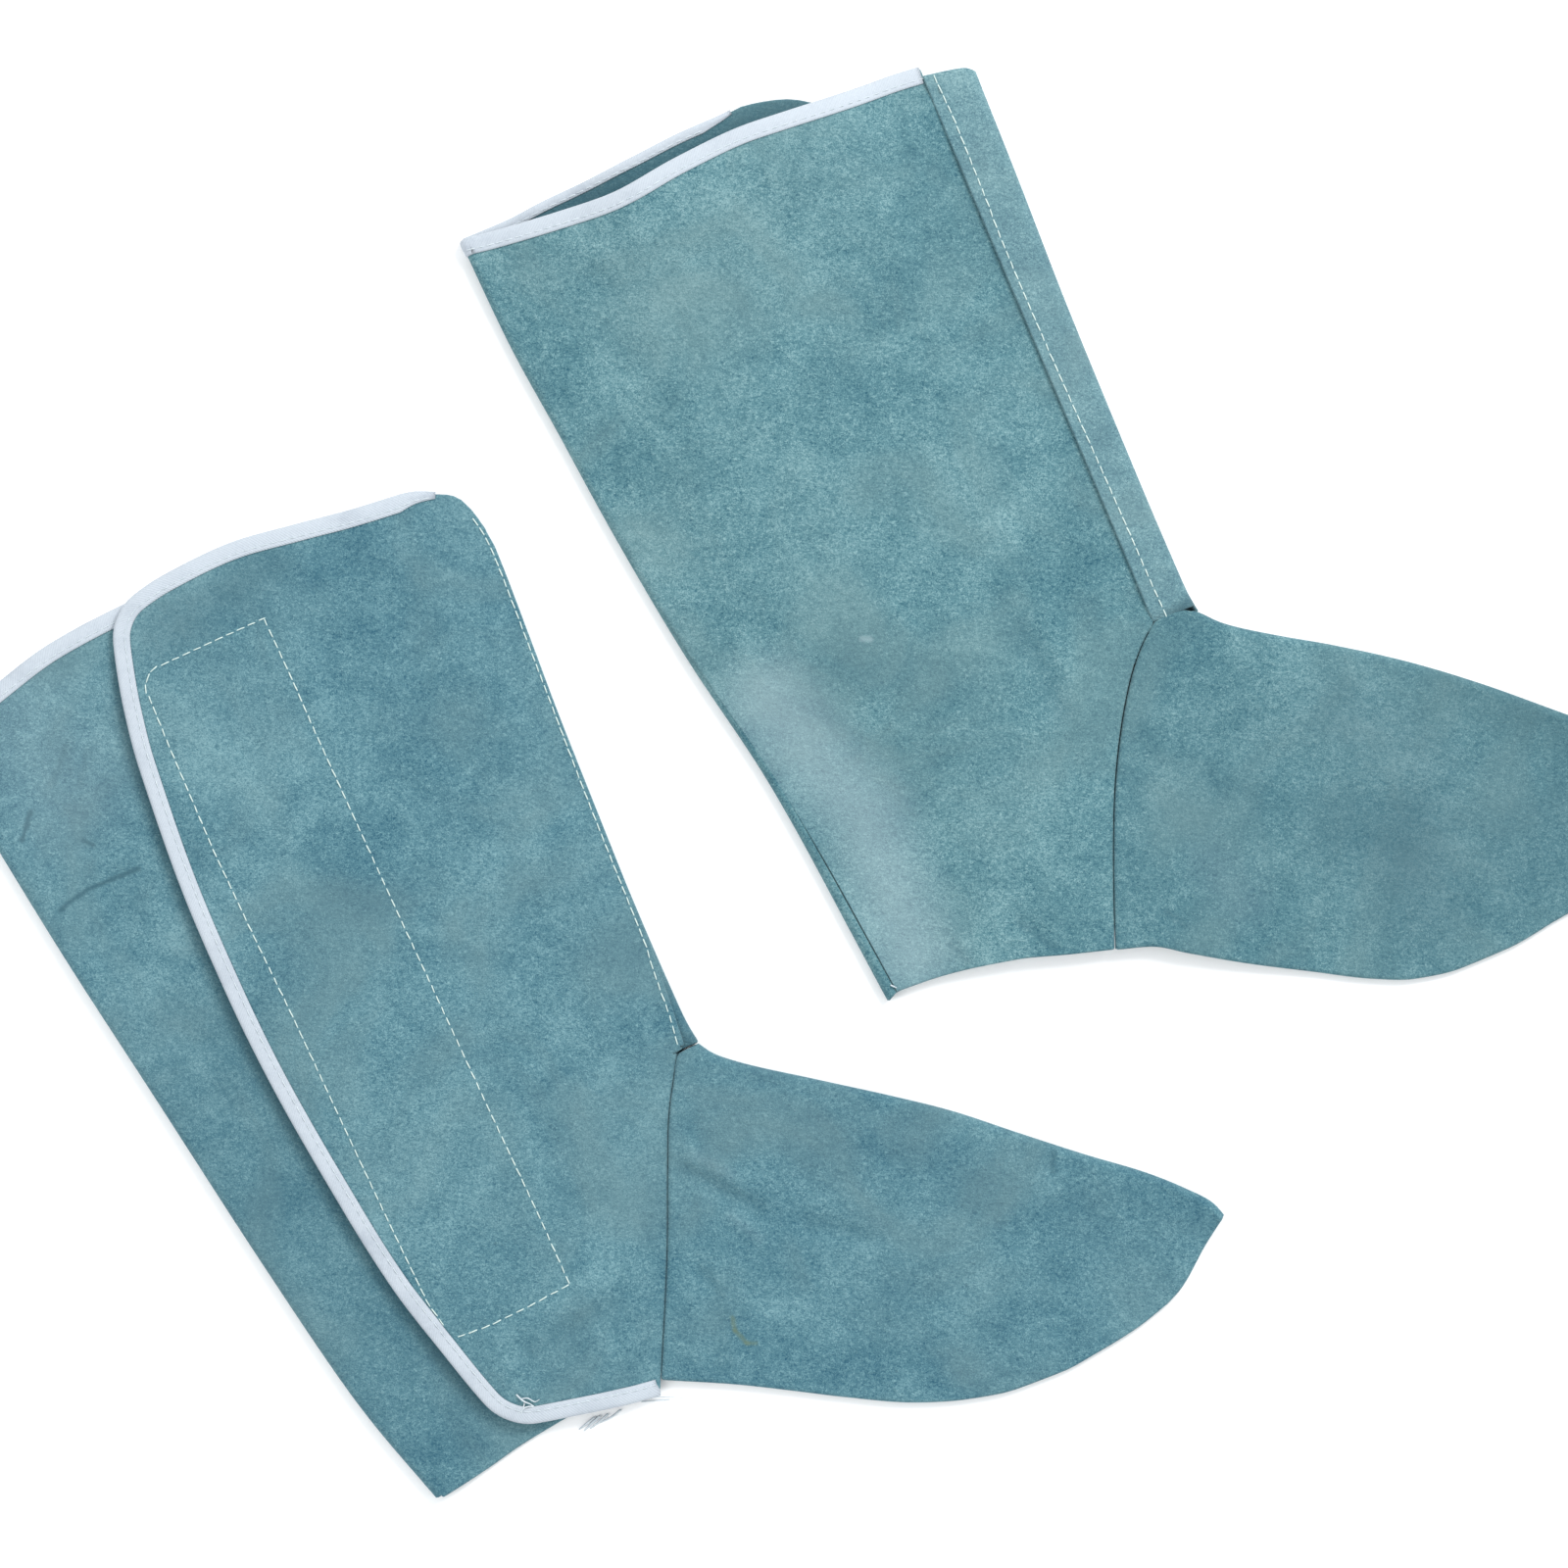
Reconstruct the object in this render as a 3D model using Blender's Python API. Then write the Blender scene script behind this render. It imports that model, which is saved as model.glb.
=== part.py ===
"""A pair of leather spats laid flat, one outer side up and one inner side up.

Each spat has an outer panel that closes over a back panel with hook and loop tape,
an inner panel, a vamp folded along the instep, and woven tape bound over the rims.

Every piece is laid out in its spat's own plan: +x towards the toe, +y up the
shin, the ankle at the origin, sizes in millimetres. A piece is a smooth middle
surface, given a wall of its own thickness. One empty per spat turns and places it.
"""

import math

import bmesh
import bpy
from mathutils import Vector

MM = 0.001

# Thicknesses and clearances
LEATHER = 1.4
TAPE = 1.0
GAP = 0.3
SEAM_GAP = 0.6  # between the edges that a plain seam joins
LIE_GAP = 0.5  # between layers that lie on each other
HALF = LEATHER / 2
BOUND_HALF = HALF + GAP + TAPE  # middle of the leather to the outside of the binding
BINDING_DEPTH = 6.1  # how far the binding reaches in from the cut edge
BINDING_OVER = GAP + TAPE  # how far the binding stands out past the cut edge

# Middle heights of layers that lie on each other
FLOOR_LAYER = HALF
FLOOR_RIM = BOUND_HALF
SECOND_LAYER = FLOOR_LAYER + LEATHER + LIE_GAP
SECOND_RIM = FLOOR_RIM + 2 * BOUND_HALF + LIE_GAP
THIRD_RIM = SECOND_RIM + 2 * BOUND_HALF + LIE_GAP
FOLD_RADIUS = 2.4
FOLD_TOP = FLOOR_LAYER + 2 * FOLD_RADIUS
LAP_LAYER = FOLD_TOP + LEATHER + GAP
LAP_MARGIN = 13.0  # leather left under the lapped shin seam
RIM_FLAT = 14.0  # stacked rims keep their height this far in
RIM_RAMP = 26.0  # and ease to the panels' heights over this
EDGE_FLAT = 9.6  # so does a single bound edge on the floor
EDGE_RAMP = 4.0

# Hook and loop tape
CLOSURE_WIDTH = 46.0
CLOSURE_FOOT = -62.0
CLOSURE_TOP = 205.0
TAPE_OFFSET = HALF + GAP + TAPE / 2  # middle of the leather to the middle of a tape on it
CLOSURE_STACK = 2 * (TAPE_OFFSET + TAPE / 2) + LIE_GAP  # middle to middle of leathers closed on tapes

# Where each spat lies
LAY = (
    # name,   turn in degrees, ankle x, ankle y
    ("right", 22.1, -50.8, -100.2),
    ("left", 22.0, 135.3, 58.9),
)

# Finished outlines of each spat as it lies, binding included. "shin", "lap", "calf",
# "front", "back_front", "seam_up", "seam_low" and "tape" run up the leg: pairs of
# height y and place x. The others run along the foot: pairs of place x and height y.
RIGHT = {
    "shin": ((-6, 5.0), (0, 3.4), (12, 2.0), (60, 0.9), (110, 0.6), (160, 1.8), (195, 2.5), (225, 2.0)),
    "lap": ((0, -2.6), (14, -0.6), (60, -0.6), (110, -0.8), (160, 0.4), (195, 1.0), (225, 0.4)),
    "calf": ((-118, -149.2), (-70, -164.0), (-20, -174.8), (60, -190.1), (120, -201.5), (212, -216.5)),
    "front": ((-108, -112.5), (-92, -119.4), (-68, -126.9), (-41, -134.5), (-9, -140.4), (56, -148.8),
              (85, -150.6), (118, -151.4), (172, -149.0), (192, -146.4), (212, -142.0), (232, -136.0)),
    "back_front": ((-110, -84.0), (-60, -68.0), (100, -60.0), (235, -57.0)),
    "seam_up": ((-108.4, -56.0), (-66.7, -36.7), (-33.4, -22.9), (-6.5, -9.4), (-1.5, -5.5), (0.4, -2.6)),
    "seam_low": ((-105, -58.0), (-67, -41.0), (-36, -27.0), (-14, -14.0), (-6, -7.9), (-2.2, -5.0)),
    "ankle_up": ((0.8, -1.0),),
    "ankle_low": ((0.8, -1.0),),
    "instep": ((2.4, 0.4), (12.3, -9.4), (38, -27.6), (61, -43.4), (80, -57.2), (100, -74.2),
               (120, -91.0), (138, -105.4), (149, -116.0), (157.5, -126.5)),
    "toe": ((158.6, -130.0), (127.0, -152.6)),
    "sole_up": ((-56.0, -108.4), (-31, -120.4), (-14, -129.6), (4, -139.6), (27.6, -151.4), (47.5, -157.9),
                (64, -160.8), (82, -161.2), (96, -159.6), (113, -156.7), (127.0, -152.6)),
    "sole_low": ((-58.0, -105.0), (-14, -128.0), (27.6, -150.0), (64, -159.4), (96, -158.2), (126.0, -151.6)),
    "flap_rim": ((-140, 227.6), (-114, 234.0), (-89, 235.8), (-61, 232.9), (-42, 230.4), (-9, 227.0),
                 (-3, 222.0), (2.5, 211.5)),
    "flap_foot": ((-118, -102.5), (-108, -105.2), (-87, -109.4), (-72, -112.2), (-56, -114.6)),
    "back_rim": ((-217, 211.0), (-187, 220.0), (-162, 226.6), (-136, 229.5), (-105, 231.0), (-60, 228.0)),
    "back_foot": ((-150, -118.8), (-128, -114.8), (-112, -111.2), (-88, -107.5), (-56, -103.0)),
    "inner_rim": ((-217, 211.0), (-187, 218.5), (-162, 222.5), (-115, 226.0), (-60, 226.0), (-9, 225.0),
                  (-3, 221.0), (2.5, 211.0)),
    "inner_foot": ((-150, -117.6), (-110, -108.5), (-56, -104.5)),
    "tape": ((-62, -95.0), (60, -104.0), (207, -108.0)),
    "calf_return": 9.0,
    "hem": 3.7,
}

LEFT = {
    "shin": ((-6, 3.6), (0, 1.4), (12, -0.2), (60, -1.2), (120, -1.6), (180, -0.8), (225, -0.6)),
    "lap": ((3, -15.8), (40, -16.3), (100, -17.4), (160, -18.5), (225, -19.4)),
    "calf": ((-89, -158.4), (-60, -161.5), (0, -168.8), (60, -180.7), (110, -188.1), (150, -192.8),
             (190, -197.5), (228, -199.6)),
    "front": ((-104, -107.0), (-60, -119.5), (-9, -129.0), (56, -136.0), (118, -138.0), (172, -136.0),
              (230, -126.0)),
    "back_front": ((-95, -70.0), (-60, -57.5), (100, -57.0), (240, -57.5)),
    "seam_up": ((-102.0, -74.0), (-67.0, -60.5), (-42.2, -49.3), (-12.5, -31.5), (0.0, -20.3), (4.2, -14.5)),
    "seam_low": ((-118.0, -41.0), (-52.0, -20.0), (-8.0, -6.0), (0.0, -3.4)),
    "ankle_up": ((-1.2, -1.0), (-3.8, 2.6), (-8.0, 4.2)),
    "ankle_low": ((-1.2, -1.0),),
    "instep": ((0.6, 0.6), (9.3, -7.2), (23, -16.6), (42.4, -28.7), (65.8, -44.8), (88, -62.6),
               (112.6, -84.6), (137, -106.0), (150, -119.0), (158, -128.0)),
    "toe": ((159.0, -131.0), (127.0, -147.0)),
    "sole_up": ((-74.0, -102.0), (-60, -106.5), (-50, -113.0), (-30, -125.4), (-10, -136.6), (10, -147.6),
                (25, -153.6), (42, -156.2), (60, -155.9), (84, -152.4), (105, -150.2), (127.0, -147.0)),
    "sole_low": ((-41.0, -118.0), (-10, -135.2), (25, -152.2), (60, -154.6), (126.0, -146.0)),
    "flap_rim": ((-128, 221.0), (-97, 227.0), (-72, 226.6), (-44, 224.2), (-19, 225.8), (-8, 224.2),
                 (-3, 222.0), (1, 218.0)),
    "flap_foot": ((-108, -90.0), (-70, -97.0), (-39, -106.0)),
    "back_rim": ((-200, 230.0), (-182, 230.5), (-166, 232.6), (-147, 234.2), (-128, 235.8), (-108, 238.4),
                 (-90, 240.0), (-57, 239.0)),
    "back_foot": ((-159, -89.0), (-120, -89.5), (-78, -93.0)),
    "inner_rim": ((-200, 229.8), (-188, 228.0), (-160, 225.6), (-141, 224.4), (-115, 227.6), (-90, 229.2),
                  (-74, 228.0), (-50, 226.2), (-19, 226.2), (0, 224.0)),
    "inner_foot": ((-159, -86.2), (-140, -87.0), (-110, -91.6), (-90, -97.4), (-73, -102.2)),
    "tape": ((-62, -83.0), (60, -93.0), (207, -92.0)),
    "calf_return": 0.4,
    "hem": 7.3,
}

# Where the grids of the pieces have their lines, as shares. A panel with closure tape
# counts 0 to 1 up to the tape, 1 to 2 across it and 2 to 3 beyond it.
FLAP_ACROSS = (0.0, 0.05, 0.18, 0.45, 0.75, 1.0, 1.25, 1.5, 1.75, 2.0, 2.2, 2.4, 2.6, 2.8, 3.0)
BACK_ACROSS = (0.0, 0.25, 0.5, 0.75, 1.0, 1.25, 1.5, 1.75, 2.0, 2.5, 2.75, 2.9, 3.0)
TAPE_START, TAPE_END = 1.0, 2.0
PANEL_ACROSS = (0.0, 0.07, 0.14, 0.21, 0.3, 0.4, 0.5, 0.6, 0.7, 0.8, 0.88, 1.0)
UP_STEPS = (1, 2, 2, 1, 1, 1, 4, 2, 1, 1, 1)  # rows between the marks that Panel.ups sets
TAPE_ROWS = (3, 14)
ANKLE_ROW = 8
VAMP_ALONG = (0.0, 0.035, 0.08, 0.15, 0.24, 0.34, 0.46, 0.58, 0.7, 0.82, 0.92, 1.0)
VAMP_ACROSS = (0.0, 0.05, 0.12, 0.24, 0.38, 0.54, 0.7, 0.86, 1.0)
UP_LINES = ("shin", "lap", "calf", "front", "back_front", "seam_up", "seam_low", "tape")
ALONG_LINES = ("flap_rim", "flap_foot", "back_rim", "back_foot", "inner_rim", "inner_foot")

# name, red, green, blue, roughness
FINISHES = {
    "leather": (0.14, 0.30, 0.36, 0.9),
    "binding": (0.62, 0.68, 0.74, 0.85),
    "closure": (0.10, 0.11, 0.12, 0.95),
}


def clear_scene():
    for thing in list(bpy.data.objects):
        bpy.data.objects.remove(thing, do_unlink=True)


def ease(value, start, end):
    """0 before start, 1 after end, smooth between."""
    part = min(1.0, max(0.0, (value - start) / (end - start)))
    return part * part * (3 - 2 * part)


def mix(first, second, part):
    return first + (second - first) * part


def slopes(knots, values):
    """A slope at each knot for a smooth curve that doesn't overshoot."""
    steps = [(values[i + 1] - values[i]) / (knots[i + 1] - knots[i]) for i in range(len(knots) - 1)]
    inner = [0.0 if a * b <= 0 else 2 * a * b / (a + b) for a, b in zip(steps, steps[1:])]
    return [steps[0], *inner, steps[-1]]


def line(points):
    """The smooth function through points, straight beyond its ends."""
    knots = [point[0] for point in points]
    values = [point[1] for point in points]
    tilt = slopes(knots, values)

    def at(where):
        if where <= knots[0]:
            return values[0] + tilt[0] * (where - knots[0])
        if where >= knots[-1]:
            return values[-1] + tilt[-1] * (where - knots[-1])
        i = max(k for k in range(len(knots) - 1) if knots[k] <= where)
        width = knots[i + 1] - knots[i]
        t = (where - knots[i]) / width
        return (
            values[i] * (1 + 2 * t) * (1 - t) ** 2
            + tilt[i] * width * t * (1 - t) ** 2
            + values[i + 1] * t * t * (3 - 2 * t)
            + tilt[i + 1] * width * t * t * (t - 1)
        )

    return at


def route(points):
    """The smooth plan curve through points, by its share of their length from 0 to 1."""
    lengths = [0.0]
    for a, b in zip(points, points[1:]):
        lengths.append(lengths[-1] + math.dist(a, b))
    across = line([(length / lengths[-1], point[0]) for length, point in zip(lengths, points)])
    along = line([(length / lengths[-1], point[1]) for length, point in zip(lengths, points)])
    return lambda share: Vector((across(share), along(share), 0.0))


def spread(start, end, count):
    return [mix(start, end, i / count) for i in range(count + 1)]


def finish(name, kind):
    """A piece's own Principled material, in one of the finishes."""
    red, green, blue, roughness = FINISHES[kind]
    made = bpy.data.materials.new(name + "_" + kind)
    made.use_nodes = True
    shader = made.node_tree.nodes["Principled BSDF"]
    shader.inputs["Base Color"].default_value = (red, green, blue, 1.0)
    shader.inputs["Roughness"].default_value = roughness
    shader.inputs["Metallic"].default_value = 0.0
    return made


def add_solid(name, vertices, faces, material, parent):
    """An object of these vertices in millimetres, its faces turned outwards."""
    mesh = bpy.data.meshes.new(name)
    mesh.from_pydata([Vector(vertex) * MM for vertex in vertices], [], faces)
    shape = bmesh.new()
    shape.from_mesh(mesh)
    bmesh.ops.recalc_face_normals(shape, faces=shape.faces)
    shape.to_mesh(mesh)
    shape.free()
    mesh.materials.append(material)
    made = bpy.data.objects.new(name, mesh)
    made.parent = parent
    bpy.context.scene.collection.objects.link(made)
    return made


def upward(height, x, y):
    """The unit normal, facing up, of the surface z = height(x, y)."""
    step = 0.25
    slope_x = (height(x + step, y) - height(x - step, y)) / (2 * step)
    slope_y = (height(x, y + step) - height(x, y - step)) / (2 * step)
    return Vector((-slope_x, -slope_y, 1.0)).normalized()


def wall(name, grid, parent, keep=lambda i, j: True, thickness=LEATHER, material="leather"):
    """A sheet of even thickness about the kept cells of a grid of middle points and normals."""
    cells = [(i, j) for i in range(len(grid) - 1) for j in range(len(grid[0]) - 1) if keep(i, j)]
    used = sorted({(i + di, j + dj) for i, j in cells for di in (0, 1) for dj in (0, 1)})
    index = {corner: k for k, corner in enumerate(used)}
    points = [grid[i][j] for i, j in used]
    front = [middle + normal * thickness / 2 for middle, normal in points]
    back = [middle - normal * thickness / 2 for middle, normal in points]
    behind = len(front)
    faces = []
    open_edges = {}
    for i, j in cells:
        ring = [index[i, j], index[i, j + 1], index[i + 1, j + 1], index[i + 1, j]]
        faces.append(ring)
        faces.append([behind + corner for corner in reversed(ring)])
        for a, b in zip(ring, ring[1:] + ring[:1]):
            if open_edges.pop((b, a), None) is None:
                open_edges[a, b] = True
    faces += [[b, a, behind + a, behind + b] for a, b in open_edges]
    return add_solid(name, front + back, faces, finish(name, material), parent)


def inner_end(trail, inward):
    """The point and normal where a trail of grid points from the edge is a binding's depth in."""
    edge, normal = trail[0]
    here, here_normal, reached = edge, normal, 0.0
    for point, point_normal in trail[1:]:
        depth = (point - edge).dot(inward)
        if depth < 0.8 * (point - edge).length:
            break
        if depth >= BINDING_DEPTH:
            part = (BINDING_DEPTH - reached) / (depth - reached)
            return here.lerp(point, part), here_normal.lerp(point_normal, part).normalized()
        here, here_normal, reached = point, point_normal, depth
    return edge + inward * BINDING_DEPTH, normal


def edge_frames(grid, path):
    """For each corner of a path along a grid's edge: the edge, the way in, and where the binding ends."""
    last_row, last_column = len(grid) - 1, len(grid[0]) - 1
    frames = []
    for k, (i, j) in enumerate(path):
        before, after = path[max(k - 1, 0)], path[min(k + 1, len(path) - 1)]
        along = grid[after[0]][after[1]][0] - grid[before[0]][before[1]][0]
        edge, normal = grid[i][j]
        if i in (0, last_row):
            trail = [row[j] for row in (grid if i == 0 else reversed(grid))]
        else:
            trail = grid[i] if j == 0 else grid[i][::-1]
        inner_row = 1 if i == 0 else last_row - 1 if i == last_row else i
        inner_column = 1 if j == 0 else last_column - 1 if j == last_column else j
        inward = normal.cross(along).normalized()
        if inward.dot(grid[inner_row][inner_column][0] - edge) < 0:
            inward.negate()
        frames.append((edge, normal, inward, *inner_end(trail, inward)))
    return frames


def binding(name, frames, parent):
    """Woven tape folded over an edge, swept along its frames."""
    slot = HALF + GAP
    vertices = []
    up = frames[0][1]
    for edge, normal, inward, inner, inner_normal in frames:
        turned = 1 if normal.dot(up) > 0 else -1
        up, inner_up = normal * turned, inner_normal * turned
        outside = edge - inward * BINDING_OVER
        bottom = edge - inward * GAP
        vertices += [inner + inner_up * BOUND_HALF, outside + up * BOUND_HALF, outside - up * BOUND_HALF,
                     inner - inner_up * BOUND_HALF, inner - inner_up * slot, bottom - up * slot,
                     bottom + up * slot, inner + inner_up * slot]
    faces = []
    for start in range(0, len(vertices) - 8, 8):
        for k in range(8):
            after = (k + 1) % 8
            faces.append([start + k, start + after, start + 8 + after, start + 8 + k])
    for start in (0, len(vertices) - 8):
        faces += [[start + k for k in ring] for ring in ((0, 1, 6, 7), (1, 2, 5, 6), (2, 3, 4, 5))]
    return add_solid(name, vertices, faces, finish(name, "binding"), parent)


class Panel:
    """A leg panel between lines that run up it, a foot edge and a rim.

    lines: x at a height y of its left side, of any lines between, and of its right
    side. foot, rim: y of its ends at a place x. height: z of its middle surface.
    rounds: radii of its corners at the left foot, left rim and right rim.
    """

    def __init__(self, lines, foot, rim, height, rounds=(0.0, 0.0, 0.0)):
        self.lines = lines
        self.foot, self.rim = foot, rim
        self.height = height
        self.rounds = rounds

    def place(self, across, y):
        """The x of a line at this height, counted across the panel's lines."""
        k = min(int(across), len(self.lines) - 2)
        return mix(self.lines[k](y), self.lines[k + 1](y), across - k)

    def plan(self, across, up):
        """The plan point at a count across and a share up the panel."""
        x = self.place(across, 0.0)
        y = mix(self.foot(x), self.rim(x), up)
        for _ in range(5):
            x = self.place(across, y)
            in_left, in_right = x - self.lines[0](y), self.lines[-1](y) - x
            low = self.foot(x) + rounding(in_left, self.rounds[0])
            high = self.rim(x) - rounding(in_left, self.rounds[1]) - rounding(in_right, self.rounds[2])
            y = mix(low, high, up)
        return x, y

    def share(self, x, y):
        return (y - self.foot(x)) / (self.rim(x) - self.foot(x))

    def ups(self, ankle):
        """Shares up the panel, with rows at the tape's ends and closer ones at the ankle and rim."""
        length = self.rim(-60.0) - self.foot(-60.0)
        marks = (
            0.0,
            7.0 / length,
            self.share(-90.0, CLOSURE_FOOT),
            self.share(-20.0, -26.0),
            self.share(-8.0, -9.0),
            self.share(-4.0, -1.0),
            self.share(-2.0, ankle),
            self.share(-100.0, CLOSURE_TOP - 17.0),
            self.share(-100.0, CLOSURE_TOP),
            1.0 - 16.0 / length,
            1.0 - 8.0 / length,
            1.0,
        )
        shares = [0.0]
        for start, end, steps in zip(marks, marks[1:], UP_STEPS):
            shares += spread(start, end, steps)[1:]
        return shares

    def grid(self, acrosses, ankle):
        """Rows of middle points and normals, from the foot to the rim."""

        def at(across, up):
            x, y = self.plan(across, up)
            return Vector((x, y, self.height(x, y))), upward(self.height, x, y)

        return [[at(across, up) for across in acrosses] for up in self.ups(ankle)]


def rounding(inset, radius):
    """How far a rounded corner of this radius takes an end in, this far from the side."""
    if radius == 0 or inset >= radius:
        return 0.0
    reach = radius - max(inset, 0.0)
    return radius - math.sqrt(radius**2 - reach**2)


FOLD_STEPS = 6


def with_fold(grid, fold, side, turn, radius, back):
    """A grid with its rows carried on round a fold and back over or under themselves.

    fold: x of the fold's outermost middle at a height. side: 1 for a fold at the right,
    -1 at the left. turn: 1 to fold upwards, -1 downwards. radius: of the middle at a
    height. back: distances of the return from the end of the fold, at a height.
    """
    folded = []
    for row in grid:
        row = list(row) if side > 0 else list(reversed(row))
        x, y, z = row[-1][0]
        bend = radius(y)
        for k in range(1, FOLD_STEPS + 1):
            angle = math.pi * k / FOLD_STEPS
            away = bend * (1 - math.sin(angle))
            point = Vector((fold(y) - side * away, y, z + turn * bend * (1 - math.cos(angle))))
            row.append((point, Vector((-turn * side * math.sin(angle), 0, math.cos(angle)))))
        for distance in back(y):
            point = Vector((fold(y) - side * (bend + distance), y, z + turn * 2 * bend))
            row.append((point, Vector((0, 0, -1))))
        folded.append(row)
    return folded


def vamp_height(lay):
    """The z of the vamp's upper layer: full at the instep fold, its own height along the sole edge."""
    instep, sole = line(lay["instep"]), line(lay["sole_up"])

    def at(x, y):
        top = min(instep(x), 0.6)
        low = sole(max(x, lay["sole_up"][0][0]))
        hem = mix(lay["hem"], FLOOR_LAYER + LEATHER + 1.1, ease(x, -60.0, 0.0))
        return mix(FOLD_TOP, hem, ease((top - y) / (top - low), 0.0, 0.7))

    return at


def coons(low_edge, high_edge, left_edge, right_edge, u, w):
    """The plan point at u along and w across a patch between four edges."""
    ruled = low_edge(u).lerp(high_edge(u), w)
    sides = left_edge(w).lerp(right_edge(w), u)
    corners = low_edge(0).lerp(high_edge(0), w).lerp(low_edge(1).lerp(high_edge(1), w), u)
    return ruled + sides - corners


def build_vamp(name, lay, height, parent):
    """The vamp: one piece folded along the instep, its two layers meeting at the toe."""
    outer = route(lay["instep"])

    def inward(u):
        ahead, behind = outer(min(u + 0.01, 1.0)), outer(max(u - 0.01, 0.0))
        tangent = (ahead - behind).normalized()
        return Vector((tangent.y, -tangent.x, 0.0))

    def fold_edge(u):
        return outer(u) + inward(u) * (HALF + FOLD_RADIUS)

    def layer(sole_points, seam_points, ankle_points, toe_inset):
        start = fold_edge(0)
        seam = [tuple(start.xy), *ankle_points[1:], *[(x, y) for y, x in reversed(seam_points)]]
        seam[-1] = sole_points[0]
        toe = [tuple(fold_edge(1).xy), (lay["toe"][0][0] - toe_inset, lay["toe"][0][1]), sole_points[-1]]
        sole, left, right = route(sole_points), route(seam), route(toe)
        return lambda u, w: coons(fold_edge, sole, left, right, u, w)

    upper = layer(lay["sole_up"], lay["seam_up"], lay["ankle_up"], 0.0)
    lower = layer(lay["sole_low"], lay["seam_low"], lay["ankle_low"], 1.0)
    grid = []
    for u in VAMP_ALONG:
        row = [(lower(u, w) + Vector((0, 0, FLOOR_LAYER)), Vector((0, 0, 1))) for w in reversed(VAMP_ACROSS)]
        for k in range(1, FOLD_STEPS):
            angle = math.pi * k / FOLD_STEPS
            point = outer(u) + inward(u) * (HALF + FOLD_RADIUS * (1 - math.sin(angle)))
            point.z = FLOOR_LAYER + FOLD_RADIUS * (1 - math.cos(angle))
            row.append((point, inward(u) * math.sin(angle) + Vector((0, 0, math.cos(angle)))))
        for w in VAMP_ACROSS:
            point = upper(u, w)
            point.z = height(point.x, point.y)
            row.append((point, -upward(height, point.x, point.y)))
        grid.append(row)
    return wall(name, grid, parent)


def tape_on(name, grid, acrosses, side, parent):
    """Closure tape on a panel, made from the panel's points moved out to one side."""
    first, last = acrosses.index(TAPE_START), acrosses.index(TAPE_END)
    strip = []
    for i in range(TAPE_ROWS[0], TAPE_ROWS[1] + 1):
        row = grid[i][first : last + 1]
        strip.append([(middle + normal * side * TAPE_OFFSET, normal) for middle, normal in row])
    return wall(name, strip, parent, thickness=TAPE, material="closure")


def along_rim(grid, end):
    """The corners of a grid's last row, up to a column."""
    return [(len(grid) - 1, j) for j in range(end + 1)]


def round_front(grid):
    """The corners from the seam along the foot, up the front edge and along the rim."""
    foot = [(0, j) for j in range(len(FLAP_ACROSS) - 1, 0, -1)]
    front = [(i, 0) for i in range(len(grid) - 1)]
    return foot + front + along_rim(grid, len(grid[0]) - 1)


def tape_lines(at):
    """The two sides of the closure tape, kept inside the panels that carry it."""

    def left(y):
        return max(at["tape"](y) - CLOSURE_WIDTH / 2, at["front"](y) + BINDING_OVER + 7.0)

    def right(y):
        return min(at["tape"](y) + CLOSURE_WIDTH / 2, at["back_front"](y) - 3.0)

    return left, right


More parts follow.
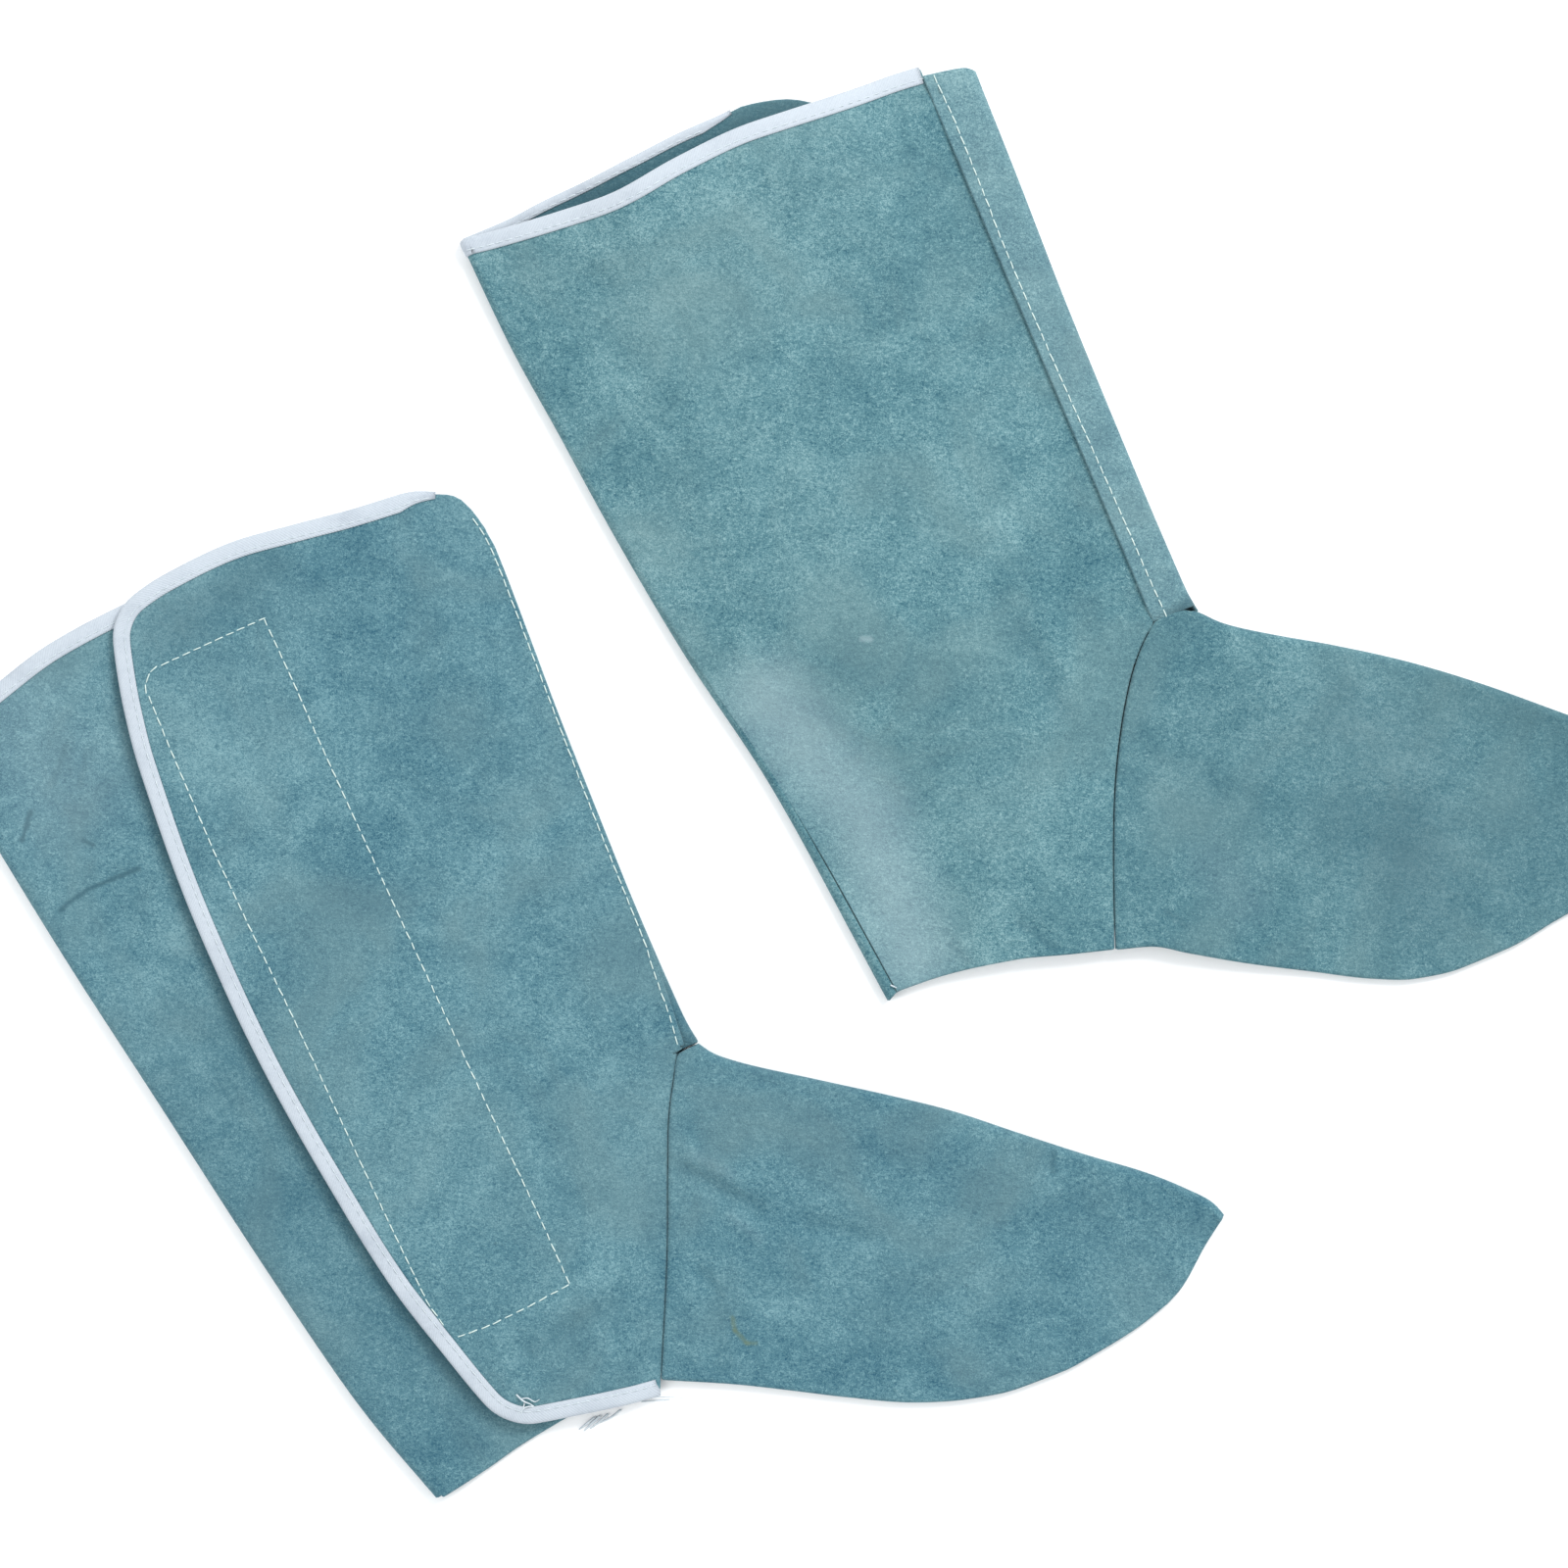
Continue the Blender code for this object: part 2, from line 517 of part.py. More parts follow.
def build_right(lay, parent):
    """The spat that lies outer side up: floor, inner panel, back panel, outer panel."""
    at = {key: line(lay[key]) for key in UP_LINES + ALONG_LINES}
    vamp_at = vamp_height(lay)
    tape_left, tape_right = tape_lines(at)

    def bend(y):
        return mix(1.55, FOLD_RADIUS, ease(y, 3.0, 22.0))

    def stacked(x, y):
        return 1 - ease(at["inner_rim"](min(x, -20.0)) - y, RIM_FLAT, RIM_FLAT + RIM_RAMP)

    def inner_height(x, y):
        return mix(FLOOR_LAYER, FLOOR_RIM, stacked(x, y))

    def back_height(x, y):
        lying = mix(SECOND_LAYER, SECOND_RIM, stacked(x, y))
        folding = inner_height(x, y) + 2 * FOLD_RADIUS
        return mix(folding, lying, ease(x - at["calf"](y), 6.0, 26.0))

    def flap_height(x, y):
        closed = SECOND_LAYER + CLOSURE_STACK
        lying = mix(closed, closed - 1.1, ease(x - tape_right(y), 2.0, 16.0))
        lap = mix(FOLD_TOP, LAP_LAYER, ease(y, 3.0, 22.0))
        lying = mix(lap, lying, ease(at["lap"](y) - x, LAP_MARGIN + 9.0, LAP_MARGIN + 28.0))
        rim = mix(THIRD_RIM, LAP_LAYER + 1.5, ease(x, -52.0, -34.0))
        lying = mix(lying, rim, stacked(x, y))
        return mix(vamp_at(x, y), lying, max(ease(at["seam_up"](y) - x, 1.0, 16.0), ease(y, 0.0, 8.0)))

    def flap_right(y):
        return at["lap"](y) if y > 1.0 else at["seam_up"](y) - SEAM_GAP

    def inner_right(y):
        return at["shin"](y) - HALF - bend(y) if y > 1.0 else at["seam_low"](y) - SEAM_GAP

    def calf(y):
        return at["calf"](y) + HALF

    def shin(y):
        return at["shin"](y) - HALF

    seam_under = FOLD_RADIUS + lay["calf_return"]
    flap = Panel((lambda y: at["front"](y) + BINDING_OVER, tape_left, tape_right, flap_right),
                 lambda x: at["flap_foot"](x) + BINDING_OVER, lambda x: at["flap_rim"](x) - BINDING_OVER,
                 flap_height, rounds=(8.0, 8.0, 0.0))
    inner = Panel((lambda y: calf(y) + seam_under + GAP, inner_right),
                  at["inner_foot"], lambda x: at["inner_rim"](x) - BINDING_OVER, inner_height)
    back = Panel((lambda y: calf(y) + FOLD_RADIUS, tape_left, tape_right, at["back_front"]),
                 at["back_foot"], lambda x: at["back_rim"](x) - BINDING_OVER, back_height,
                 rounds=(0.0, 0.0, 13.0))

    flap_grid = flap.grid(FLAP_ACROSS, 3.0)
    inner_grid = with_fold(inner.grid(PANEL_ACROSS, 3.0), shin, 1, 1, bend,
                           lambda y: (LAP_MARGIN / 2, LAP_MARGIN))
    back_flat = back.grid(BACK_ACROSS, 3.0)
    back_grid = with_fold(back_flat, calf, -1, -1, lambda y: FOLD_RADIUS,
                          lambda y: (lay["calf_return"] / 2, lay["calf_return"]))

    fold_start, rim_row = len(PANEL_ACROSS) - 1, len(inner_grid) - 2
    half_fold = fold_start + FOLD_STEPS // 2

    def inner_keeps(i, j):
        return j < fold_start or (i >= ANKLE_ROW and (i < rim_row or j < half_fold))

    wall("right_outer_panel", flap_grid, parent)
    wall("right_inner_panel", inner_grid, parent, keep=inner_keeps)
    wall("right_back_panel", back_grid, parent)
    build_vamp("right_vamp", lay, vamp_at, parent)
    binding("right_outer_binding", edge_frames(flap_grid, round_front(flap_grid)), parent)
    rim = edge_frames(back_grid, along_rim(back_grid, len(back_grid[0]) - 1))
    rim += edge_frames(inner_grid, along_rim(inner_grid, half_fold))
    binding("right_top_binding", rim, parent)
    tape_on("right_hook_tape", flap_grid, FLAP_ACROSS, -1, parent)
    tape_on("right_loop_tape", back_flat, BACK_ACROSS, 1, parent)


def build_left(lay, parent):
    """The spat that lies inner side up: floor, outer panel, back panel, inner panel."""
    at = {key: line(lay[key]) for key in UP_LINES + ALONG_LINES}
    vamp_at = vamp_height(lay)
    tape_left, tape_right = tape_lines(at)
    wide = FOLD_RADIUS + (LEATHER + GAP) / 2
    over_flap = FLOOR_LAYER + CLOSURE_STACK + GAP
    rim_lift = FLOOR_RIM - FLOOR_LAYER
    ankle = 5.6

    def bend(y):
        return mix(FOLD_RADIUS, wide, ease(y, ankle, 24.0))

    def lap_height(y):
        return FLOOR_LAYER + 2 * bend(y)

    def on_flap(x, y):
        return ease(x - at["front"](y), -30.0, -4.0)

    def flap_height(x, y):
        edge = min(x - at["front"](y), at["flap_rim"](x) - y, y - at["flap_foot"](x))
        return mix(FLOOR_RIM, FLOOR_LAYER, ease(edge, EDGE_FLAT, EDGE_FLAT + EDGE_RAMP))

    def stacked(x, y):
        return 1 - ease(at["inner_rim"](min(x, -20.0)) - y, RIM_FLAT, RIM_FLAT + RIM_RAMP)

    def back_height(x, y):
        return mix(FLOOR_LAYER, over_flap, on_flap(x, y)) + rim_lift * stacked(x, y)

    def inner_height(x, y):
        beside = ease(x - at["back_front"](y), 2.0, 20.0)
        lying = mix(FOLD_TOP, over_flap + LEATHER + LIE_GAP, on_flap(x, y) * (1 - beside))
        lying = mix(lap_height(y) - LEATHER - GAP, lying, ease(at["lap"](y) - x, 2.0, 20.0))
        lying += rim_lift * (1 + 1.3 * on_flap(x, y) * (1 - beside)) * stacked(x, y)
        return mix(vamp_at(x, y), lying, max(ease(at["seam_up"](y) - x, 1.0, 14.0), ease(y, 2.0, 12.0)))

    def flap_right(y):
        return at["shin"](y) - HALF - bend(y) if y > 1.0 else at["seam_low"](y) - SEAM_GAP

    def inner_right(y):
        return at["lap"](y) - GAP if y > 3.5 else at["seam_up"](y) - SEAM_GAP

    def calf(y):
        return at["calf"](y) + HALF

    def shin(y):
        return at["shin"](y) - HALF

    def strip(y):
        return spread(0.0, shin(y) - bend(y) - at["lap"](y), 3)[1:]

    seam_over = FOLD_RADIUS + lay["calf_return"]
    flap = Panel((lambda y: at["front"](y) + BINDING_OVER, tape_left, tape_right, flap_right),
                 lambda x: at["flap_foot"](x) + BINDING_OVER, lambda x: at["flap_rim"](x) - BINDING_OVER,
                 flap_height, rounds=(8.0, 8.0, 0.0))
    inner = Panel((lambda y: calf(y) + seam_over + GAP, inner_right),
                  at["inner_foot"], lambda x: at["inner_rim"](x) - BINDING_OVER, inner_height)
    back = Panel((lambda y: calf(y) + FOLD_RADIUS, tape_left, tape_right, at["back_front"]),
                 at["back_foot"], lambda x: at["back_rim"](x) - BINDING_OVER, back_height,
                 rounds=(0.0, 0.0, 13.0))

    flap_flat = flap.grid(FLAP_ACROSS, ankle)
    flap_grid = with_fold(flap_flat, shin, 1, 1, bend, strip)
    inner_grid = inner.grid(PANEL_ACROSS, ankle)
    for row in inner_grid:
        x, y, _ = row[-1][0]
        tucked = lap_height(y) - LEATHER - GAP
        row += [(Vector((x + GAP + reach, y, tucked)), Vector((0, 0, 1))) for reach in (3.0, 9.0)]
    back_flat = back.grid(BACK_ACROSS, ankle)
    back_grid = with_fold(back_flat, calf, -1, 1, lambda y: FOLD_RADIUS, lambda y: (lay["calf_return"],))

    lap_column = len(PANEL_ACROSS) - 1

    wall("left_outer_panel", flap_grid, parent, keep=lambda i, j: j < len(FLAP_ACROSS) - 1 or i >= ANKLE_ROW)
    wall("left_inner_panel", inner_grid, parent,
         keep=lambda i, j: j < lap_column or ANKLE_ROW < i < TAPE_ROWS[1] - 1)
    wall("left_back_panel", back_grid, parent)
    build_vamp("left_vamp", lay, vamp_at, parent)
    binding("left_outer_binding", edge_frames(flap_grid, round_front(flap_grid)), parent)
    rim = edge_frames(back_grid, along_rim(back_grid, len(back_grid[0]) - 1))
    rim += edge_frames(inner_grid, along_rim(inner_grid, lap_column))
    binding("left_top_binding", rim, parent)
    tape_on("left_hook_tape", flap_flat, FLAP_ACROSS, 1, parent)
    tape_on("left_loop_tape", back_flat, BACK_ACROSS, -1, parent)


def centre_on_floor(holders):
    """Move both spats together until their box is centred on the origin and rests on the floor."""
    bpy.context.view_layer.update()
    corners = [
        shape.matrix_world @ vertex.co
        for shape in bpy.data.objects
        if shape.type == "MESH"
        for vertex in shape.data.vertices
    ]
    low = Vector([min(corner[axis] for corner in corners) for axis in range(3)])
    high = Vector([max(corner[axis] for corner in corners) for axis in range(3)])
    for holder in holders:
        holder.location -= Vector(((low.x + high.x) / 2, (low.y + high.y) / 2, low.z))
    bpy.context.view_layer.update()


def main():
    clear_scene()
    builders = {"right": (build_right, RIGHT), "left": (build_left, LEFT)}
    holders = []
    for name, turn, ankle_x, ankle_y in LAY:
        holder = bpy.data.objects.new(name + "_spat", None)
        bpy.context.scene.collection.objects.link(holder)
        holder.rotation_euler.z = math.radians(turn)
        holder.location = Vector((ankle_x, ankle_y, 0)) * MM
        build, lay = builders[name]
        build(lay, holder)
        holders.append(holder)
    centre_on_floor(holders)


if __name__ == "__main__":
    main()
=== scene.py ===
import logging
import math
from dataclasses import dataclass, field
from enum import Enum
from typing import Callable, Sequence

import bpy
import numpy as np
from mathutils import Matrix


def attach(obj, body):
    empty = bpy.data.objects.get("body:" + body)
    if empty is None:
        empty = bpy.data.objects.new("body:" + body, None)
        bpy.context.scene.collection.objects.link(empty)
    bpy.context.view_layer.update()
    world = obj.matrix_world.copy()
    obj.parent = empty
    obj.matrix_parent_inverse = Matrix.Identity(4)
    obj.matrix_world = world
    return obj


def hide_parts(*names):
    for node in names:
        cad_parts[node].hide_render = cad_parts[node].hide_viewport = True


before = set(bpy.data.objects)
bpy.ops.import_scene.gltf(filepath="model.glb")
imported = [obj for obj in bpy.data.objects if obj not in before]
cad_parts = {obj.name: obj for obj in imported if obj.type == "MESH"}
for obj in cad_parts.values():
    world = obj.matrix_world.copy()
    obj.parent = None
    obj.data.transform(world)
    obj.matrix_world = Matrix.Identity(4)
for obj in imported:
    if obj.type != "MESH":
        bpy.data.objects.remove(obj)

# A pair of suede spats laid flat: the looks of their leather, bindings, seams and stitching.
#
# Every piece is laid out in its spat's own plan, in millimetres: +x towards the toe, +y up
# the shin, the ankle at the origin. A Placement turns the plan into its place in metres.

LOG = logging.getLogger("spats")
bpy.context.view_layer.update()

Array = np.ndarray
Height = Callable[[Array, Array], Array]
Line = Callable[[Array], Array]
Patch = Callable[[Array, Array], Array]

MM = 0.001
TINY = 1e-9

# Thicknesses, in millimetres
LEATHER = 1.4
HALF = LEATHER / 2
TAPE = 0.6
TAPE_CLEAR = 0.12
TAPE_MIDDLE = HALF + TAPE_CLEAR + TAPE / 2
BOUND_HALF = TAPE_MIDDLE + TAPE / 2
BINDING_DEPTH = 5.2
BINDING_OVER = 1.3
CLOSURE_THICK = 1.0
GAP = 0.3
LIE_GAP = 0.5
SEAM_EDGE = HALF - 0.05
SEAM_ROLL = 1.0
CALF_EDGE = 0.46
SEAM_LAP = SEAM_EDGE * 1.1
LOW_SEAM_EDGE = 0.6
SEAM_WAY = (0.91, 0.41)

# Middle heights of layers that lie on each other
FLOOR_LAYER = HALF + 0.05
FLOOR_RIM = BOUND_HALF + 0.25
SECOND_LAYER = FLOOR_LAYER + LEATHER + LIE_GAP
SECOND_RIM = FLOOR_RIM + 2 * BOUND_HALF + GAP
THIRD_RIM = SECOND_RIM + 2 * BOUND_HALF + GAP
FOLD_RADIUS = 2.4
FOLD_TOP = FLOOR_LAYER + 2 * FOLD_RADIUS
LAP_LAYER = FOLD_TOP + LEATHER + GAP
LAP_MARGIN = 13.0
RIM_FLAT = 12.0
RIM_RAMP = 26.0
EDGE_FLAT = 7.0
EDGE_RAMP = 6.0
FLAP_ROUNDS = (8.0, 8.0, 0.0)
TAPE_OFFSET = HALF + GAP + CLOSURE_THICK / 2
CLOSURE_STACK = 2 * (TAPE_OFFSET + CLOSURE_THICK / 2) + LIE_GAP
CLOSURE_WIDTH = 46.0
CLOSURE_FOOT = -62.0
CLOSURE_TOP = 205.0

# Spacing of the lattices' rows and columns
FINE = 1.8
COARSE = 4.5
SIDE_ROWS = (0.3, 0.7, 1.4, 2.4)
END_ROWS = (0.0, 0.5, 1.4, 3.0)
MID_HEIGHT = 50.0
MID_PLACE = -60.0
ANKLE_PLACE = -4.0
SETTLE_PASSES = 6
FOLD_STEPS = 12
STRIP_STEPS = 9
STRAND_STEPS = 16
STRAND_SIDES = 6


def ease(value: Array, start: float, end: float) -> Array:
    """0 before start, 1 after end, smooth between."""
    part = np.clip((np.asarray(value, float) - start) / (end - start), 0.0, 1.0)
    return part * part * (3 - 2 * part)


def mix(first: Array, second: Array, part: Array) -> Array:
    """The value a share of the way from first to second."""
    return first + (second - first) * part


class SmoothLine:
    """A smooth function through points that doesn't overshoot, straight beyond its ends."""

    def __init__(self, points: Sequence[tuple[float, float]]) -> None:
        """Args:
            points: pairs of place and value, in order of place.
        """
        self.knots = np.array([point[0] for point in points], float)
        self.values = np.array([point[1] for point in points], float)
        steps = np.diff(self.values) / np.diff(self.knots)
        inner = [0.0 if a * b <= 0 else 2 * a * b / (a + b) for a, b in zip(steps, steps[1:])]
        self.tilt = np.array([steps[0], *inner, steps[-1]])

    def __call__(self, where: Array) -> Array:
        """The value at each place.

        Args:
            where: places along the line.

        Returns:
            The values, in the same shape.
        """
        where = np.asarray(where, float)
        k, v, m = self.knots, self.values, self.tilt
        i = np.clip(np.searchsorted(k, where, side="right") - 1, 0, len(k) - 2)
        width = k[i + 1] - k[i]
        t = (where - k[i]) / width
        inside = (
            v[i] * (1 + 2 * t) * (1 - t) ** 2
            + m[i] * width * t * (1 - t) ** 2
            + v[i + 1] * t * t * (3 - 2 * t)
            + m[i + 1] * width * t * t * (t - 1)
        )
        below = v[0] + m[0] * (where - k[0])
        above = v[-1] + m[-1] * (where - k[-1])
        return np.where(where < k[0], below, np.where(where > k[-1], above, inside))


class Route:
    """A smooth plan curve through points, by its share of their length."""

    def __init__(self, points: Sequence[tuple[float, float]]) -> None:
        """Args:
            points: the plan points, in order.
        """
        steps = [math.dist(a, b) for a, b in zip(points, points[1:])]
        shares = np.concatenate([[0.0], np.cumsum(steps)]) / sum(steps)
        self.across = SmoothLine(list(zip(shares, [point[0] for point in points])))
        self.along = SmoothLine(list(zip(shares, [point[1] for point in points])))

    def __call__(self, share: Array) -> Array:
        """The plan point at each share, as (..., 2)."""
        return np.stack([self.across(share), self.along(share)], axis=-1)


@dataclass(frozen=True)
class Crease:
    """A soft ridge, or a trough where rise is negative, along a bowed line in the plan."""

    start: tuple[float, float]
    end: tuple[float, float]
    width: float
    rise: float
    bow: float = 0.0

    def lift(self, x: Array, y: Array) -> Array:
        """How far it lifts the leather at each plan point.

        Args:
            x: plan x, in mm.
            y: plan y, in mm.

        Returns:
            The lift in mm.
        """
        length = max(math.dist(self.start, self.end), 0.01)
        ux, uy = (self.end[0] - self.start[0]) / length, (self.end[1] - self.start[1]) / length
        along = (x - self.start[0]) * ux + (y - self.start[1]) * uy
        share = np.clip(along / length, 0.0, 1.0)
        across = (y - self.start[1]) * ux - (x - self.start[0]) * uy - 4 * self.bow * share * (1 - share)
        beyond = np.maximum(0.0, np.maximum(-along, along - length))
        taper = 0.45 + 0.55 * np.sin(math.pi * np.clip(share + 0.12, 0.0, 1.0))
        return self.rise * taper * np.exp(-((across / self.width) ** 2) - (beyond / (1.8 * self.width)) ** 2)


@dataclass(frozen=True)
class Wave:
    """One long slow swell of the leather."""

    length: float
    heading: float
    phase: float
    rise: float

    def lift(self, x: Array, y: Array) -> Array:
        """How far it lifts the leather at each plan point.

        Args:
            x: plan x, in mm.
            y: plan y, in mm.

        Returns:
            The lift in mm.
        """
        turn = math.radians(self.heading)
        way = x * math.cos(turn) + y * math.sin(turn)
        cross = y * math.cos(turn) - x * math.sin(turn)
        swing = self.phase + 0.6 * np.sin(cross / self.length * 2.1)
        return self.rise * np.sin(2 * math.pi * way / self.length + swing)


SWELLS = (
    Wave(118.0, 14.0, 0.4, 0.30),
    Wave(83.0, 71.0, 2.1, 0.24),
    Wave(61.0, -38.0, 4.0, 0.20),
    Wave(37.0, 118.0, 1.2, 0.10),
    Wave(23.0, 8.0, 3.3, 0.055),
    Wave(15.5, 52.0, 5.1, 0.035),
)


@dataclass(frozen=True)
class StitchRun:
    """A row of stitches along plan points, pulled a little way into the leather."""

    points: tuple[tuple[float, float], ...]
    depth: float = 0.30
    width: float = 1.5

    def lift(self, x: Array, y: Array) -> Array:
        """How far the row pulls the leather down at each plan point.

        Args:
            x: plan x, in mm.
            y: plan y, in mm.

        Returns:
            The lift in mm, 0 or less.
        """
        near = np.full(np.shape(x), 1e6)
        for (ax, ay), (bx, by) in zip(self.points, self.points[1:]):
            dx, dy = bx - ax, by - ay
            t = np.clip(((x - ax) * dx + (y - ay) * dy) / (dx * dx + dy * dy), 0.0, 1.0)
            near = np.minimum(near, (x - ax - t * dx) ** 2 + (y - ay - t * dy) ** 2)
        return -self.depth * np.exp(-near / self.width**2)

    def path(self, top: Height, step: float = 1.0) -> list[tuple[float, float, float]]:
        """Points close together along the row, on the surface whose height is top.

        Args:
            top: the surface height at plan points.
            step: the spacing in mm.

        Returns:
            The points in mm.
        """
        found = []
        for (ax, ay), (bx, by) in zip(self.points, self.points[1:]):
            count = max(1, round(math.dist((ax, ay), (bx, by)) / step))
            share = np.arange(count) / count
            x, y = mix(ax, bx, share), mix(ay, by, share)
            found += list(zip(x, y, top(x, y)))
        x, y = np.array([self.points[-1][0]]), np.array([self.points[-1][1]])
        found.append((x[0], y[0], top(x, y)[0]))
        return found


@dataclass(frozen=True)
class Placement:
    """Where a spat lies: its turn in degrees and its ankle's place in millimetres."""

    turn: float
    x: float
    y: float

    def world(self, points: Array) -> Array:
        """Plan points in millimetres, with height, as points in metres.

        Args:
            points: points as (..., 3), in mm.

        Returns:
            The points in the frame of the table, in metres.
        """
        points = np.asarray(points, float)
        c, s = math.cos(math.radians(self.turn)), math.sin(math.radians(self.turn))
        x = points[..., 0] * c - points[..., 1] * s + self.x
        y = points[..., 0] * s + points[..., 1] * c + self.y
        return np.stack([x, y, points[..., 2]], axis=-1) * MM


class Lattice:
    """A grid of middle points of a sheet, with the unit normal at each."""

    def __init__(self, points: Array) -> None:
        """Args:
            points: (rows, columns, 3) in millimetres; the first column faces up.
        """
        self.points = points
        along = np.gradient(points, axis=0)
        across = np.gradient(points, axis=1)
        normals = np.cross(across, along)
        normals /= np.maximum(np.linalg.norm(normals, axis=2, keepdims=True), TINY)
        self.flipped = bool(np.median(normals[:, 0, 2]) < 0)
        self.normals = -normals if self.flipped else normals

    def area(self, keep: Array) -> float:
        """The area of the kept cells in square metres.

        Args:
            keep: true for each cell that is kept.

        Returns:
            The area.
        """
        p = self.points
        first = np.linalg.norm(np.cross(p[1:, :-1] - p[:-1, :-1], p[:-1, 1:] - p[:-1, :-1]), axis=2)
        second = np.linalg.norm(np.cross(p[1:, :-1] - p[1:, 1:], p[:-1, 1:] - p[1:, 1:]), axis=2)
        return float(((first + second) / 2)[keep].sum()) * MM * MM


def shares(marks: Sequence[float], length: float, pitch: float | Sequence[float]) -> Array:
    """Marks and the even steps between them.

    Args:
        marks: rising values that the result holds.
        length: millimetres for each unit of the marks.
        pitch: the largest step in millimetres, or one for each stretch between marks.

    Returns:
        The rising values.
    """
    pitches = [pitch] * (len(marks) - 1) if isinstance(pitch, (int, float)) else pitch
    found = [marks[0]]
    for start, end, step in zip(marks, marks[1:], pitches):
        count = max(1, math.ceil((end - start) * length / step))
        found += [mix(start, end, k / count) for k in range(1, count + 1)]
    return np.array(found)


def steady(value: float) -> Line:
    """A line that has the same value everywhere."""
    return lambda y: value + 0 * y


def all_cells(points: Array) -> Array:
    """Every cell of a lattice's points, kept."""
    return np.ones(np.subtract(points.shape[:2], 1), bool)


def tape_columns(across: Array) -> list[int]:
    """The columns at the two sides of the closure tape."""
    return [int(np.argmin(np.abs(across - line))) for line in (1, 2)]


def rounding(inset: Array, radius: float) -> Array:
    """How far a rounded corner of this radius takes an end in, this far from the side.

    Args:
        inset: distances from the side, in mm.
        radius: the radius of the corner, in mm.

    Returns:
        The distances in mm.
    """
    if radius == 0:
        return np.zeros(np.shape(inset))
    reach = np.clip(radius - np.maximum(inset, 0.0), 0.0, radius)
    return radius - np.sqrt(radius**2 - reach**2)


@dataclass
class Panel:
    """A leg panel between lines that run up it, a foot edge and a rim.

    lines: x at a height y of its left side, of any lines between, and of its right side.
    foot, rim: y of its ends at a place x. height: z of its middle surface. rounds: radii
    of its corners at the left foot, left rim and right rim.
    """

    lines: tuple[Line, ...]
    foot: Line
    rim: Line
    height: Height
    rounds: tuple[float, float, float] = (0.0, 0.0, 0.0)

    def place(self, across: Array, y: Array) -> Array:
        """The x of each counted line at each height.

        Args:
            across: counts from the left side, whole at each line.
            y: the heights in mm.

        Returns:
            The places in mm.
        """
        k = np.minimum(across.astype(int), len(self.lines) - 2)
        xs = np.stack([line(y) for line in self.lines])
        low = np.take_along_axis(xs, k[None], axis=0)[0]
        high = np.take_along_axis(xs, k[None] + 1, axis=0)[0]
        return mix(low, high, across - k)

    def lattice(self, acrosses: Array, ups: Array) -> Array:
        """The middle points, as (rows, columns, 3).

        Args:
            acrosses: a count across for each column.
            ups: a share up for each row.

        Returns:
            The points in mm.
        """
        across, up = np.meshgrid(acrosses, ups)
        x = self.place(across, np.zeros_like(across))
        y = mix(self.foot(x), self.rim(x), up)
        for _ in range(SETTLE_PASSES):
            x = self.place(across, y)
            in_left, in_right = x - self.lines[0](y), self.lines[-1](y) - x
            low = self.foot(x) + rounding(in_left, self.rounds[0])
            high = self.rim(x) - rounding(in_left, self.rounds[1]) - rounding(in_right, self.rounds[2])
            y = mix(low, high, up)
        return np.stack([x, y, self.height(x, y)], axis=-1)

    def acrosses(self, pitches: Sequence[float], fine_left: bool = True, fine_right: bool = True) -> Array:
        """Counts across the panel, a pitch for each zone, closer at its sides.

        Args:
            pitches: the spacing in each zone, in mm.
            fine_left: closer at the left side.
            fine_right: closer at the right side.

        Returns:
            The counts, from left to right.
        """
        found, middle = [], np.array(MID_HEIGHT)
        for k, pitch in enumerate(pitches):
            width = float(self.lines[k + 1](middle) - self.lines[k](middle))
            marks = [0.0, 1.0]
            if k == 0 and fine_left:
                marks[1:1] = [row / width for row in SIDE_ROWS]
            if k == len(pitches) - 1 and fine_right:
                marks[-1:-1] = [1 - row / width for row in reversed(SIDE_ROWS)]
            found += list(k + shares(marks, width, pitch)[: -1 if k < len(pitches) - 1 else None])
        return np.array(found)

    def ups(self, pitch: float, *rows: float) -> Array:
        """Shares up the panel, closer at its foot and rim, with rows at these heights.

        Args:
            pitch: the spacing in mm.
            rows: heights at which a row is wanted.

        Returns:
            The shares, from foot to rim.
        """
        x = np.array(MID_PLACE)
        low, high = float(self.foot(x)), float(self.rim(x))
        length = high - low
        marks = [end / length for end in END_ROWS] + [(row - low) / length for row in sorted(rows)]
        marks += [1 - end / length for end in reversed(END_ROWS)]
        return shares(marks, length, pitch)


def with_fold(points: Array, fold: Line, side: int, turn: int, radius: Line, back: Sequence[Line],
              sweep: Line | None = None) -> Array:
    """A lattice with its rows carried on round a fold and back over or under themselves.

    Args:
        points: the flat lattice.
        fold: x of the fold's outermost middle at a height y.
        side: 1 for a fold at the right, -1 at the left.
        turn: 1 to fold upwards, -1 downwards.
        radius: of the middle at a height y.
        back: distances of the return from the end of the fold at a height y.
        sweep: how far round the fold the leather goes at a height y; half a turn if None.

    Returns:
        The longer lattice, running from the far side to the return.
    """
    points = points if side > 0 else points[:, ::-1]
    y, z = points[:, -1, 1], points[:, -1, 2]
    bend = radius(y) * np.ones_like(y)
    columns = []
    whole = np.full(y.shape, math.pi) if sweep is None else sweep(y)
    for k in range(1, FOLD_STEPS + 1):
        angle = whole * k / FOLD_STEPS
        away = bend * (1 - np.sin(angle))
        columns.append(np.stack([fold(y) - side * away, y, z + turn * bend * (1 - np.cos(angle))], axis=-1))
    for distance in back:
        columns.append(np.stack([fold(y) - side * (bend + distance(y)), y, z + turn * 2 * bend], axis=-1))
    return np.concatenate([points, np.stack(columns, axis=1)], axis=1)


